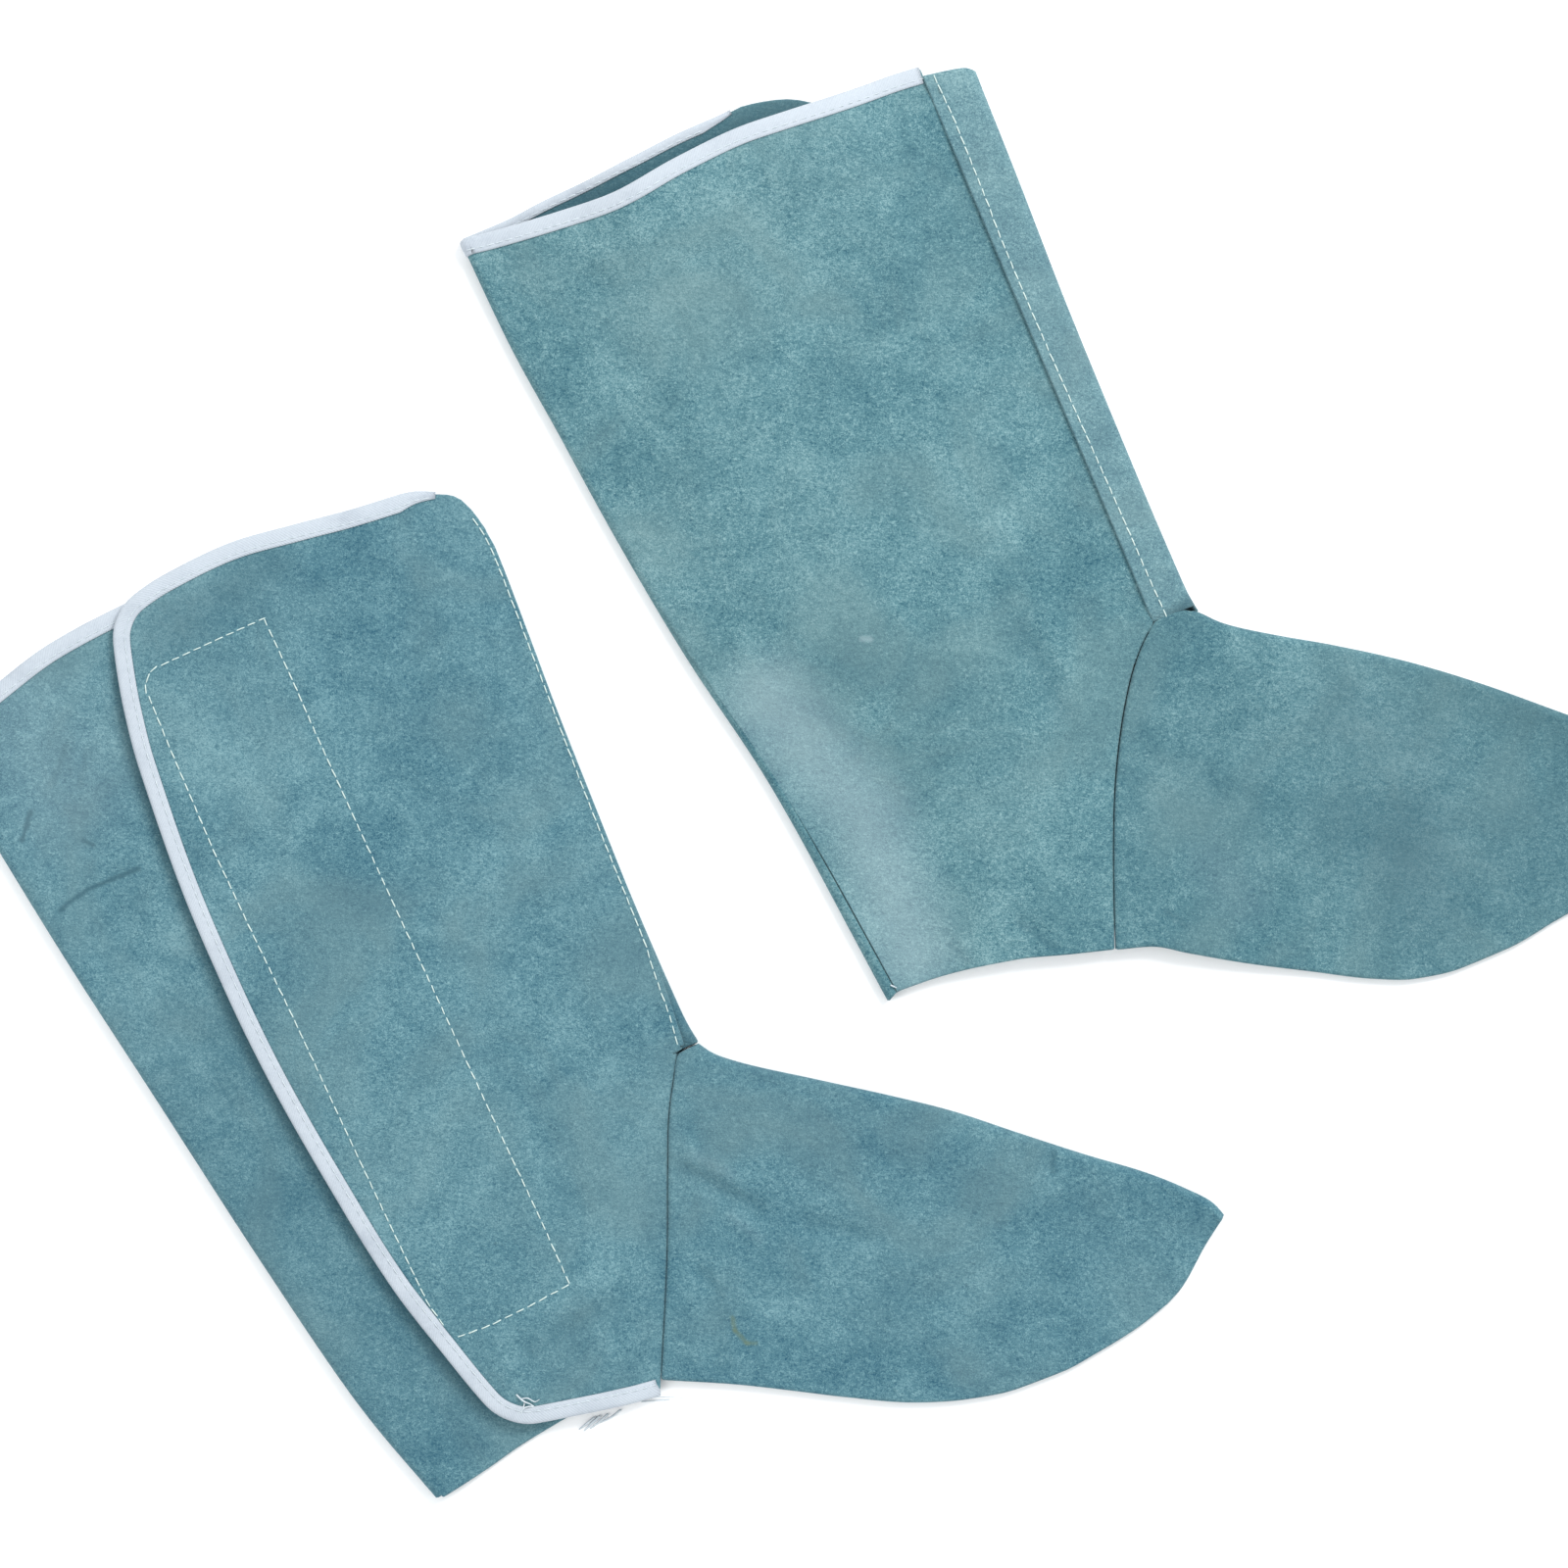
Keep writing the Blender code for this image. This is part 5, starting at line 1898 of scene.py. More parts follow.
    def declare(self, nodes: dict[str, tuple[str, ...]], rests: dict[str, tuple[str, ...]],
                going: dict[str, tuple[str, ...]], holds: dict[str, str]) -> None:
        """Attaches each piece to the root body and hides the CAD nodes that it stands for.

        Args:
            nodes: the CAD nodes that each piece stands for.
            rests: what each sheet lies on; not used.
            going: the pieces that go with each sheet; not used.
            holds: how each sheet is held; not used.
        """
        slots = {"binding": "binding", "pile": "closure", "tape": "closure"}
        for key, piece in self.pieces.items():
            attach(piece, "root")
            for node in nodes.get(key, ()):
                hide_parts(f"{self.name}_{node}")
            next((slot for word, slot in slots.items() if word in key), "leather")


@dataclass
class OuterUpSpat(Spat):
    """The spat that lies outer side up: inner panel, back panel, then the outer panel over both."""

    def bend(self, y: Array) -> Array:
        """The shin fold's radius."""
        return mix(1.55, FOLD_RADIUS, ease(y, 3.0, 22.0))

    def inner_height(self, x: Array, y: Array) -> Array:
        """The inner panel's middle."""
        return mix(FLOOR_LAYER, FLOOR_RIM, self.stacked(x, y))

    def back_height(self, x: Array, y: Array) -> Array:
        """The back panel's middle, free to swell where the outer panel doesn't cover it.

        Args:
            x: plan x, in mm.
            y: plan y, in mm.

        Returns:
            The heights in mm.
        """
        lying = mix(SECOND_LAYER, SECOND_RIM, self.stacked(x, y))
        bare = ease(self.at["front"](y) - x, -6.0, 14.0)
        lying = lying + bare * (0.75 * self.swell(x, y) - 0.1 + self.creased(self.creases[3:], x, y))
        folding = self.inner_height(x, y) + 2 * FOLD_RADIUS
        return mix(folding, lying, ease(x - self.at["calf"](y), 6.0, 26.0))

    def flap_height(self, x: Array, y: Array) -> Array:
        """The outer panel's middle.

        Args:
            x: plan x, in mm.
            y: plan y, in mm.

        Returns:
            The heights in mm.
        """
        closed = SECOND_LAYER + CLOSURE_STACK
        lying = mix(closed, closed - 1.0, ease(x - self.tape_right(y), 2.0, 16.0))
        lap = mix(FOLD_TOP, LAP_LAYER, ease(y, 3.0, 22.0))
        lying = mix(lap, lying, ease(self.at["lap"](y) - x, LAP_MARGIN + 9.0, LAP_MARGIN + 28.0))
        rim = mix(THIRD_RIM, LAP_LAYER + 1.3, ease(x, -52.0, -34.0))
        lying = mix(lying, rim, self.stacked(x, y))
        free = ease(self.at["lap"](y) - x, 1.0, 16.0) * ease(x - self.at["front"](y), 3.0, 18.0)
        lying = lying + free * (self.swell(x, y) + self.creased(self.creases[:3], x, y))
        lying = lying + self.creased(self.runs, x, y)
        leg = np.maximum(ease(self.at["seam_up"](y) - x, 1.0, 16.0), ease(y, 0.0, 8.0))
        return mix(self.vamp_height(x, y), lying, leg)

    def flap_top(self, x: Array) -> Array:
        """The outer panel's cut rim, bound up to the corner and bare beyond."""
        return mix(self.at["flap_rim"](x) - BINDING_OVER, self.bare_rim(x) - 0.3, ease(x, -24.0, -9.0))

    def inner_top(self, x: Array) -> Array:
        """The inner panel's cut rim."""
        return mix(self.at["inner_rim"](x) - BINDING_OVER, self.bare_rim(x) - 1.6, ease(x, -14.0, -10.0))

    def bare_rim(self, x: Array) -> Array:
        """The rounded corner at the top of the shin, which has no binding."""
        return SmoothLine(((-12, 224.2), (-9, 223.1), (-6, 221.7), (-3.4, 219.6), (-1.5, 216.3), (0.2, 211.4),
                           (1.3, 206.0), (2.1, 200.0)))(x)

    def flap_rolled(self, x: Array, y: Array) -> Array:
        """The outer panel's middle, rolled down at the ankle seam."""
        away = -self.seam_distance(x, y) - SEAM_EDGE
        return self.flap_height(x, y) - self.seam_drop(np.maximum(away, 0.0)) * ease(-y, -2.5, 0.0)

    def build(self) -> None:
        """Makes every piece."""
        at = self.at

        def flap_right(y: Array) -> Array:
            """The outer panel's right side: the shin's lap, and the ankle seam below it."""
            return mix(at["seam_up"](y) - SEAM_LAP, at["lap"](y), ease(y, -0.5, 1.5))

        def thread_top(x: Array, y: Array) -> Array:
            """Where a thread lies on the outer panel."""
            return self.flap_height(x, y) + HALF + THREAD_OVER

        seam_under = FOLD_RADIUS + self.outline.calf_return
        flap = self.outer_leather(flap_right, self.flap_top, self.flap_rolled)
        inner = Panel((lambda y: self.calf(y) + seam_under + GAP, self.lower_right), at["inner_foot"],
                      self.inner_top, self.inner_height)
        back = self.back_leather(lambda x: at["back_rim"](x) - BINDING_OVER, 13.0)

        flap_across = flap.acrosses((FINE, FINE, FINE))
        flap_ups = flap.ups(FINE, *self.ankle_rows(flap, -0.6, -0.1, 0.5, 1.0, 1.6))
        flap_points = flap.lattice(flap_across, flap_ups)
        flap_flat = Lattice(flap_points)
        self.add_shell("outer_panel", flap_flat, all_cells(flap_points))

        inner_ups = inner.ups(COARSE, *self.ankle_rows(inner, 0.9, 1.2))
        inner_points = inner.lattice(inner.acrosses((COARSE,), False, False), inner_ups)
        fold_start = inner_points.shape[1] - 1
        inner_points = with_fold(inner_points, self.shin, 1, 1, self.bend,
                                 (steady(LAP_MARGIN / 2), steady(LAP_MARGIN)))
        inner_points = refit(inner_points, fold_start, None, lambda x: self.inner_top(np.minimum(x, 1.3)))
        inner_lattice = Lattice(inner_points)
        keep = all_cells(inner_points)
        ankle = int(np.argmin(np.abs(inner_points[:, fold_start, 1] - 1.2)))
        keep[:ankle, fold_start:] = False
        keep[-6:, fold_start + FOLD_STEPS // 2 :] = False
        self.add_shell("inner_panel", inner_lattice, keep)

        back_across = back.acrosses((FINE, COARSE, COARSE), False, False)
        back_points = back.lattice(back_across, back.ups(FINE))
        back_flat = Lattice(back_points)
        back_return = self.outline.calf_return
        back_points = with_fold(back_points, self.calf, -1, -1, steady(FOLD_RADIUS),
                                (steady(back_return / 2), steady(back_return)))
        back_points = refit(back_points, len(back_across), lambda x: at["back_foot"](x) + 0.9, None)
        back_lattice = Lattice(back_points)
        self.add_shell("back_panel", back_lattice, all_cells(back_points))
        self.build_vamp()

        self.add_tape("hook_tape", flap_flat, *tape_columns(flap_across), -1)
        self.add_tape("loop_tape", back_flat, *tape_columns(back_across), 1)

        outer_edge = flat_frames(self.round_flap(flap_flat, flap_points.shape[1], -9.6), self.flap_rolled, 1)
        outer_edge = outer_edge.tapered(0, 9, 0.25)
        self.bind("outer_binding", outer_edge)
        flat_count = len(back_across)
        back_rim = flat_frames(back_lattice.points[-1, : flat_count, :2], self.back_height, -1)
        round_calf = folded_frames(back_lattice, range(flat_count, back_points.shape[1]))
        inner_rim = folded_frames(inner_lattice, np.nonzero(inner_points[-1, :fold_start, 0] < -14.0)[0])
        self.bind("top_binding", Frames.joined([back_rim, round_calf, inner_rim]))

        shown = back_rim.part(int(0.42 * len(back_rim.edge)), len(back_rim.edge))
        self.sew("binding", [self.bound_row(outer_edge)[1:-2], self.bound_row(shown)], 3, BINDING_STITCH)
        rows = [np.array(run.path(thread_top)) for run in self.runs]
        self.sew("closure", rows, 5, CLOSURE_STITCH)
        row = SmoothLine(((5, -3.8), (14, -2.7), (23, -2.3), (32, -1.9), (43, -1.0), (90, -0.8), (150, 0.4),
                          (196, 1.2), (205, 0.4), (210, -0.8), (214, -2.3)))
        ys = np.linspace(5.0, 209.0, SEAM_ROWS)
        xs = row(ys)
        self.sew("shin", [np.stack([xs, ys, thread_top(xs, ys)], axis=1)], 7, RIGHT_SHIN_STITCH)
        self.fray(FLAP_STRANDS, self.fray_floor)

    def fray_floor(self, x: Array, y: Array) -> Array:
        """What the loose threads lie on: the outer panel, or the table past its foot edge."""
        return mix(0.3, self.flap_height(x, y) + HALF, ease(y - self.at["flap_foot"](x), -0.5, 2.5))


@dataclass
class InnerUpSpat(Spat):
    """The spat that lies inner side up: outer panel, back panel, then the inner panel over both."""

    wide: float = FOLD_RADIUS + (LEATHER + GAP) / 2
    over_flap: float = FLOOR_LAYER + CLOSURE_STACK + GAP
    rim_lift: float = FLOOR_RIM - FLOOR_LAYER
    ankle: float = 4.9

    def bend(self, y: Array) -> Array:
        """The shin fold's radius."""
        return mix(FOLD_RADIUS, self.wide, ease(y, self.ankle, 24.0))

    def lap_height(self, y: Array) -> Array:
        """The middle of the outer panel's strip, folded back over the shin."""
        return FLOOR_LAYER + 2 * self.bend(y)

    def on_flap(self, x: Array, y: Array) -> Array:
        """1 where the outer panel lies beneath, 0 towards the calf."""
        return ease(x - self.at["front"](y), -30.0, -4.0)

    def flap_height(self, x: Array, y: Array) -> Array:
        """The outer panel's middle, on the floor.

        Args:
            x: plan x, in mm.
            y: plan y, in mm.

        Returns:
            The heights in mm.
        """
        ends = np.minimum(self.at["flap_rim"](x) - y, y - self.at["flap_foot"](x))
        edge = np.minimum(x - self.at["front"](y), ends)
        return mix(FLOOR_RIM, FLOOR_LAYER, ease(edge, EDGE_FLAT, EDGE_FLAT + EDGE_RAMP))

    def back_height(self, x: Array, y: Array) -> Array:
        """The back panel's middle."""
        return mix(FLOOR_LAYER, self.over_flap, self.on_flap(x, y)) + self.rim_lift * self.stacked(x, y)

    def inner_height(self, x: Array, y: Array) -> Array:
        """The inner panel's middle, without its seams' rolls.

        Args:
            x: plan x, in mm.
            y: plan y, in mm.

        Returns:
            The heights in mm.
        """
        at = self.at
        beside = ease(x - at["back_front"](y), 2.0, 20.0)
        lying = mix(FOLD_TOP, self.over_flap + LEATHER + LIE_GAP, self.on_flap(x, y) * (1 - beside))
        lying = mix(self.lap_height(y) - LEATHER - GAP, lying, ease(at["lap"](y) - x, 2.0, 20.0))
        lying = lying + self.rim_lift * (1 + 1.3 * self.on_flap(x, y) * (1 - beside)) * self.stacked(x, y)
        free = ease(at["lap"](y) - x, 2.0, 22.0) * ease(x - at["calf"](y), 4.0, 20.0)
        low = ease(y - at["inner_foot"](x), 0.0, 20.0) * 0.6 + 0.4
        lying = lying + free * low * (self.swell(x, y) + self.creased(self.creases, x, y))
        lying = lying + self.mouth(x) * (1 - ease(at["inner_rim"](x) - y, 0.0, 70.0))
        return mix(self.vamp_height(x, y), lying,
                   np.maximum(ease(at["seam_up"](y) - x, 1.0, 14.0), ease(y, 2.0, 12.0)))

    def mouth(self, x: Array) -> Array:
        """How far the inner panel's rim stands up, leaving the mouth open."""
        return 6.5 * ease(x, -192.0, -120.0) * (1 - ease(x, -84.0, -26.0))

    def inner_rolled(self, x: Array, y: Array) -> Array:
        """The inner panel's middle, rolled down at the ankle and calf seams."""
        ankle = np.maximum(-self.seam_distance(x, y) - SEAM_EDGE, 0.0)
        return self.inner_height(x, y) - self.seam_drop(ankle) * ease(-y, -5.0, -2.0)

    def seam_reach(self, y: Array) -> Array:
        """How far the calf seam is past the top of the calf fold, below 0 where it is on the bend."""
        return SmoothLine(((-89, 1.2), (-40, 0.7), (0, -0.5), (30, -1.2), (80, -2.2), (130, -3.3),
                           (230, -3.8)))(y)

    def seam_turn(self, y: Array) -> Array:
        """How far round the calf fold, from its top, the seam is."""
        return np.maximum(-self.seam_reach(y), 0.3 + CALF_EDGE) / FOLD_RADIUS

    def back_turn(self, y: Array) -> Array:
        """How far round the calf fold the back panel goes."""
        return math.pi + np.minimum(self.seam_reach(y) - CALF_EDGE, 0.0) / FOLD_RADIUS

    def calf_fold(self, y: Array) -> Array:
        """The outermost middle of the bend that the inner panel follows."""
        return self.calf(y) + np.maximum(self.seam_reach(y) + 0.3 + CALF_EDGE, 0.0)

    def build(self) -> None:
        """Makes every piece."""
        at = self.at

        def inner_right(y: Array) -> Array:
            """The inner panel's right side: the strip's edge, and the ankle seam below it."""
            return np.where(y > 3.5, at["lap"](y) - GAP, at["seam_up"](y) - SEAM_LAP)

        def strip_width(y: Array) -> Array:
            """How far the outer panel's strip comes back from the shin fold."""
            return self.shin(y) - self.bend(y) - at["lap"](y)

        strip_rim = SmoothLine(((-30, 222.4), (-19.1, 220.9), (-16.6, 220.5), (-5, 218.3), (-2, 216.6),
                                (0, 213.0)))

        def flap_top(x: Array) -> Array:
            """The outer panel's cut rim, bare beside the shin."""
            return mix(at["flap_rim"](x) - BINDING_OVER, strip_rim(x) - 0.5, ease(x, -36.0, -22.0))

        def back_top(x: Array) -> Array:
            """The back panel's cut rim, bare where the inner panel hides it."""
            return at["back_rim"](x) - BINDING_OVER * (1 - 0.8 * ease(x, -91.0, -88.0))

        flap = self.outer_leather(self.lower_right, flap_top, self.flap_height)
        inner = Panel((lambda y: self.calf_fold(y) + FOLD_RADIUS, inner_right), at["inner_foot"],
                      lambda x: at["inner_rim"](x) - BINDING_OVER, self.inner_rolled)
        back = self.back_leather(back_top, 3.0)

        flap_across = flap.acrosses((COARSE, COARSE, COARSE), True, False)
        flap_ups = flap.ups(COARSE, *self.ankle_rows(flap, 0.9, 1.2, 2.3, self.ankle))
        flap_points = flap.lattice(flap_across, flap_ups)
        flap_flat = Lattice(flap_points)
        start = flap_points.shape[1] - 1
        back_steps = [lambda y, step=step: strip_width(y) * step / STRIP_STEPS
                      for step in range(1, STRIP_STEPS)]
        back_steps += [lambda y, short=short: strip_width(y) - short for short in (0.8, 0.3, 0.0)]
        flap_points = with_fold(flap_points, self.shin, 1, 1, self.bend, back_steps)
        flap_points = refit(flap_points, start, None, strip_rim)
        flap_lattice = Lattice(flap_points)
        keep = all_cells(flap_points)
        top_row, low_row = (int(np.argmin(np.abs(flap_points[:, start, 1] - y))) for y in (self.ankle, 2.3))
        keep[:top_row, start + FOLD_STEPS // 2 :] = False
        keep[:low_row, start:] = False
        self.add_shell("outer_panel", flap_lattice, keep)

        inner_ups = inner.ups(FINE, *self.ankle_rows(inner, 3.35, 3.65, self.ankle))
        inner_points = inner.lattice(inner.acrosses((FINE,), False, True), inner_ups)
        inner_points = with_fold(inner_points, self.calf_fold, -1, -1, steady(FOLD_RADIUS), (),
                                 lambda y: self.seam_turn(y) - CALF_EDGE / FOLD_RADIUS)
        folded = inner_points.shape[1] - FOLD_STEPS
        inner_points = refit(inner_points, folded, at["inner_foot"], None)[:, ::-1]
        lap_column = inner_points.shape[1] - 1
        last = inner_points[:, -1]
        tucked = self.lap_height(last[:, 1]) - LEATHER - GAP
        tuck = [np.stack([last[:, 0] + reach, last[:, 1], tucked], axis=1)[:, None] for reach in (3.3, 9.3)]
        inner_points = np.concatenate([inner_points, *tuck], axis=1)
        inner_lattice = Lattice(inner_points)
        keep = all_cells(inner_points)
        above = (inner_points[:-1, lap_column, 1] > self.ankle) & (inner_points[1:, lap_column, 1] < 205.0)
        keep[~above, lap_column:] = False
        self.add_shell("inner_panel", inner_lattice, keep)

        back_across = back.acrosses((COARSE, COARSE, COARSE), False, False)
        back_points = back.lattice(back_across, back.ups(2.6))
        back_flat = Lattice(back_points)
        back_points = with_fold(back_points, self.calf, -1, 1, steady(FOLD_RADIUS),
                                (lambda y: np.maximum(self.seam_reach(y) - CALF_EDGE, 0.0) + 0.02,),
                                self.back_turn)
        back_points = refit(back_points, len(back_across), at["back_foot"], None)
        back_lattice = Lattice(back_points)
        self.add_shell("back_panel", back_lattice, all_cells(back_points))
        self.build_vamp()

        self.add_tape("hook_tape", flap_flat, *tape_columns(flap_across), 1)
        self.add_tape("loop_tape", back_flat, *tape_columns(back_across), -1)

        outer_edge = flat_frames(self.round_flap(flap_lattice, start + 1, -24.0), self.flap_height, 1)
        self.bind("outer_binding", outer_edge)
        flat_count = len(back_across)
        bound = back_lattice.points[-1, :flat_count, :2]
        back_rim = flat_frames(bound[bound[:, 0] < -89.0], self.back_height, -1, share=0.5).tapered(8, 0, 0.2)
        round_calf = folded_frames(back_lattice, range(flat_count, flat_count + FOLD_STEPS // 2 + 1))
        over_calf = folded_frames(inner_lattice, range(1, FOLD_STEPS))
        rim_edge = inner_lattice.points[-1, FOLD_STEPS : lap_column + 1, :2]
        inner_rim = flat_frames(rim_edge, self.inner_height, 1)
        self.bind("top_binding", Frames.joined([back_rim, round_calf, over_calf, inner_rim]))

        self.sew("binding", [self.bound_row(inner_rim), self.back_row(back_rim)[8:]], 13, BINDING_STITCH)
        self.sew_strip()

    def back_row(self, frames: Frames) -> Array:
        """The stitches along the back rim, on the side that shows."""
        facing = np.where(frames.normals[..., 2:] > 0, frames.normals, -frames.normals)
        return frames.points[:, STITCH_DEPTH] + facing[:, STITCH_DEPTH] * (BOUND_HALF + STITCH_OVER)

    def sew_strip(self) -> None:
        """Sews the strip that laps over the inner panel."""
        row = SmoothLine(((5.9, -10.8), (20.6, -11.5), (38.6, -12.0), (158.7, -15.2), (169.0, -14.9),
                          (202.0, -14.8), (213.7, -15.4)))
        ys = np.linspace(5.4, 218.6, SEAM_ROWS)
        fold = self.shin(ys) - self.bend(ys)
        top = self.flap_height(fold, ys) + 2 * self.bend(ys) + HALF + 0.06
        self.sew("shin", [np.stack([row(ys), ys, top], axis=1)], 17, LEFT_SHIN_STITCH)
        self.fray(CALF_STRANDS, lambda x, y: self.inner_height(x, y) + HALF)


# ---------------------------------------------------------------------------- stage


@dataclass
class Studio:
    """A white table, soft light from the upper right with a weaker fill, and a camera straight above."""

    look_x: float = -16.5 * MM
    look_y: float = -3.0 * MM
    across: float = 576.0 * MM
    layer: float = 6.0 * MM
    height: float = 2.0
    sensor: float = 36.0

    def camera(self) -> None:
        """The camera, which frames the pair."""
        data = bpy.data.cameras.new("camera")
        data.sensor_width = self.sensor
        data.lens = self.sensor * self.height / self.across
        data.dof.use_dof = False
        eye = bpy.data.objects.new("camera", data)
        eye.location = (self.look_x, self.look_y, self.height + self.layer)
        bpy.context.scene.collection.objects.link(eye)
        bpy.context.scene.camera = eye

    def lamp(self, name: str, place: tuple, size: float, power: float) -> None:
        """A soft area light aimed at the middle of the table.

        Args:
            name: the name of the light.
            place: where it hangs, in metres.
            size: the width of its disk in metres.
            power: its power in watts.
        """
        data = bpy.data.lights.new(name, "AREA")
        data.shape = "DISK"
        data.size = size
        data.energy = power
        light = bpy.data.objects.new(name, data)
        x, y, z = place
        light.location = place
        light.rotation_euler = (math.acos(z / math.sqrt(x * x + y * y + z * z)), 0.0, math.atan2(x, -y))
        bpy.context.scene.collection.objects.link(light)

    def build(self) -> None:
        """Makes the stage."""
        self.camera()
        s = Shader("table")
        s.fix(Base_Color=(0.97, 0.97, 0.97), Roughness=0.95)
        half = 3.0
        corners = [(-half, -half, 0.0), (half, -half, 0.0), (half, half, 0.0), (-half, half, 0.0)]
        table = add_piece("table", np.array(corners), [[0, 1, 2, 3]], s.material)
        self.lamp("key", (1.0, 1.3, 1.6), 1.0, 42.0)
        self.lamp("fill", (-1.3, -0.8, 1.9), 1.6, 14.0)
        world = bpy.data.worlds.new("room")
        world.use_nodes = True
        world.node_tree.nodes["Background"].inputs["Color"].default_value = (0.95, 0.98, 1.0, 1.0)
        world.node_tree.nodes["Background"].inputs["Strength"].default_value = 0.95
        bpy.context.scene.world = world
        bpy.context.scene.view_settings.view_transform = "Standard"


# ---------------------------------------------------------------------------- the pair


CLOSURE_ROWS = (
    StitchRun((
        (-122.6, -58.5), (-124.6, -49.7), (-125.9, -29.0), (-127.6, 0.0), (-130.8, 65.5), (-132.8, 95.0),
        (-134.8, 132.3), (-135.6, 178.1), (-135.6, 198.3), (-131.6, 203.3), (-108.0, 204.4), (-86.4, 205.3))),
    StitchRun((
        (-85.6, 203.9), (-84.5, 178.7), (-84.1, 161.5), (-80.6, 80.0), (-76.6, 0.0), (-74.6, -37.4),
        (-73.7, -61.6))),
    StitchRun(((-75.4, -63.4), (-89.7, -65.0), (-106.1, -66.2), (-117.5, -65.8))),
)

FLAP_STRANDS = (
    Strand(((-107.0, -93.4, 0.3), (-105.3, -96.6, 1.4), (-103.6, -98.4, 1.0), (-102.6, -99.8, 0.4)), 0.34),
    Strand(((-102.6, -99.8, 0.4), (-105.4, -98.9, 1.2), (-108.6, -99.9, 0.8), (-111.0, -99.5, 0.3)), 0.3),
    Strand(((-106.4, -95.4, 0.3), (-103.9, -95.9, 1.0), (-101.3, -98.4, 0.8), (-99.8, -98.2, 0.3)), 0.26),
    Strand(((-105.0, -97.0, 0.3), (-107.5, -100.0, 0.9), (-109.8, -102.2, 0.5)), 0.26),
    Strand(((-84.0, -112.6, 0.6), (-87.6, -113.6, 1.0), (-91.1, -114.6, 0.3)), 0.5),
    Strand(((-82.0, -112.9, 0.6), (-86.0, -114.3, 0.9), (-89.6, -115.8, 0.3)), 0.5),
    Strand(((-79.0, -113.3, 0.6), (-83.6, -114.9, 0.8), (-87.2, -115.9, 0.3)), 0.45),
    Strand(((-74.0, -113.6, 0.6), (-79.0, -114.9, 0.8), (-83.2, -115.2, 0.3)), 0.4),
    Strand(((-66.0, -113.8, 0.5), (-61.0, -115.4, 0.7), (-56.0, -117.0, 0.3)), 0.28),
    Strand(((-63.0, -113.2, 0.6), (-57.0, -115.6, 0.8), (-51.0, -118.4, 0.3)), 0.24),
)
CALF_STRANDS = (
    Strand(((-155.4, -83.6, 0.2), (-154.4, -84.6, 0.8), (-153.7, -85.4, 0.2)), 0.3),
)

FLAP_CREASES = (
    Crease((-63.4, -74.9), (-94.5, -79.8), 4.5, -1.2, 1.0),
    Crease((-40.0, 118.0), (-22.0, 96.0), 8.0, 0.35, 2.0),
    Crease((-52.0, 24.0), (-30.0, 8.0), 7.0, -0.4, -1.5),
)
UNDERLAP_CREASES = (
    Crease((-163.6, 137.8), (-195.6, 134.5), 1.7, -0.9, -2.0),
    Crease((-192.1, 171.9), (-198.7, 163.3), 1.5, -0.9, 0.5),
    Crease((-178.7, 155.2), (-175.7, 152.0), 1.4, -0.7),
    Crease((-171.5, 189.2), (-181.3, 178.4), 2.0, -0.9, 1.2),
    Crease((-164.7, 184.9), (-172.0, 174.6), 2.2, -0.8, 0.8),
)
RIGHT_VAMP_CREASES = (
    Crease((-13.6, -36.4), (-3.8, -48.6), 3.2, 1.1, 0.8),
    Crease((-19.0, -40.1), (1.6, -63.2), 3.4, -1.7, -1.0),
    Crease((-9.4, -62.6), (-2.9, -74.2), 3.0, 0.9),
    Crease((16.2, -76.1), (34.7, -87.9), 4.0, -1.5, 1.0),
    Crease((-27.1, -76.4), (-23.8, -87.5), 3.0, -1.2),
    Crease((-26.8, -90.1), (-32.3, -111.2), 3.4, -1.1, 0.8),
    Crease((-14.5, -21.3), (-13.5, -23.3), 3.0, -1.1),
    Crease((46.6, -97.7), (67.1, -109.5), 1.7, -0.35, 0.8),
)
INNER_CREASES = (
    Crease((-62.4, 20.5), (-58.6, -14.4), 5.5, -1.4, 1.5),
    Crease((-129.7, -78.1), (-126.2, -85.7), 2.4, -0.9),
    Crease((-102.9, -80.0), (-94.6, -93.1), 3.0, -1.0, 1.0),
    Crease((-49.3, -50.0), (-47.8, -60.7), 2.6, -0.4),
    Crease((-40.0, 150.0), (-60.0, 120.0), 9.0, -0.4, 2.0),
)
LEFT_VAMP_CREASES = (
    Crease((-51.3, -96.5), (-46.7, -104.2), 2.6, -0.4),
    Crease((-8.0, -48.0), (18.0, -66.0), 6.0, -0.7, 1.5),
    Crease((30.0, -60.0), (62.0, -92.0), 7.0, 0.5, -1.5),
)


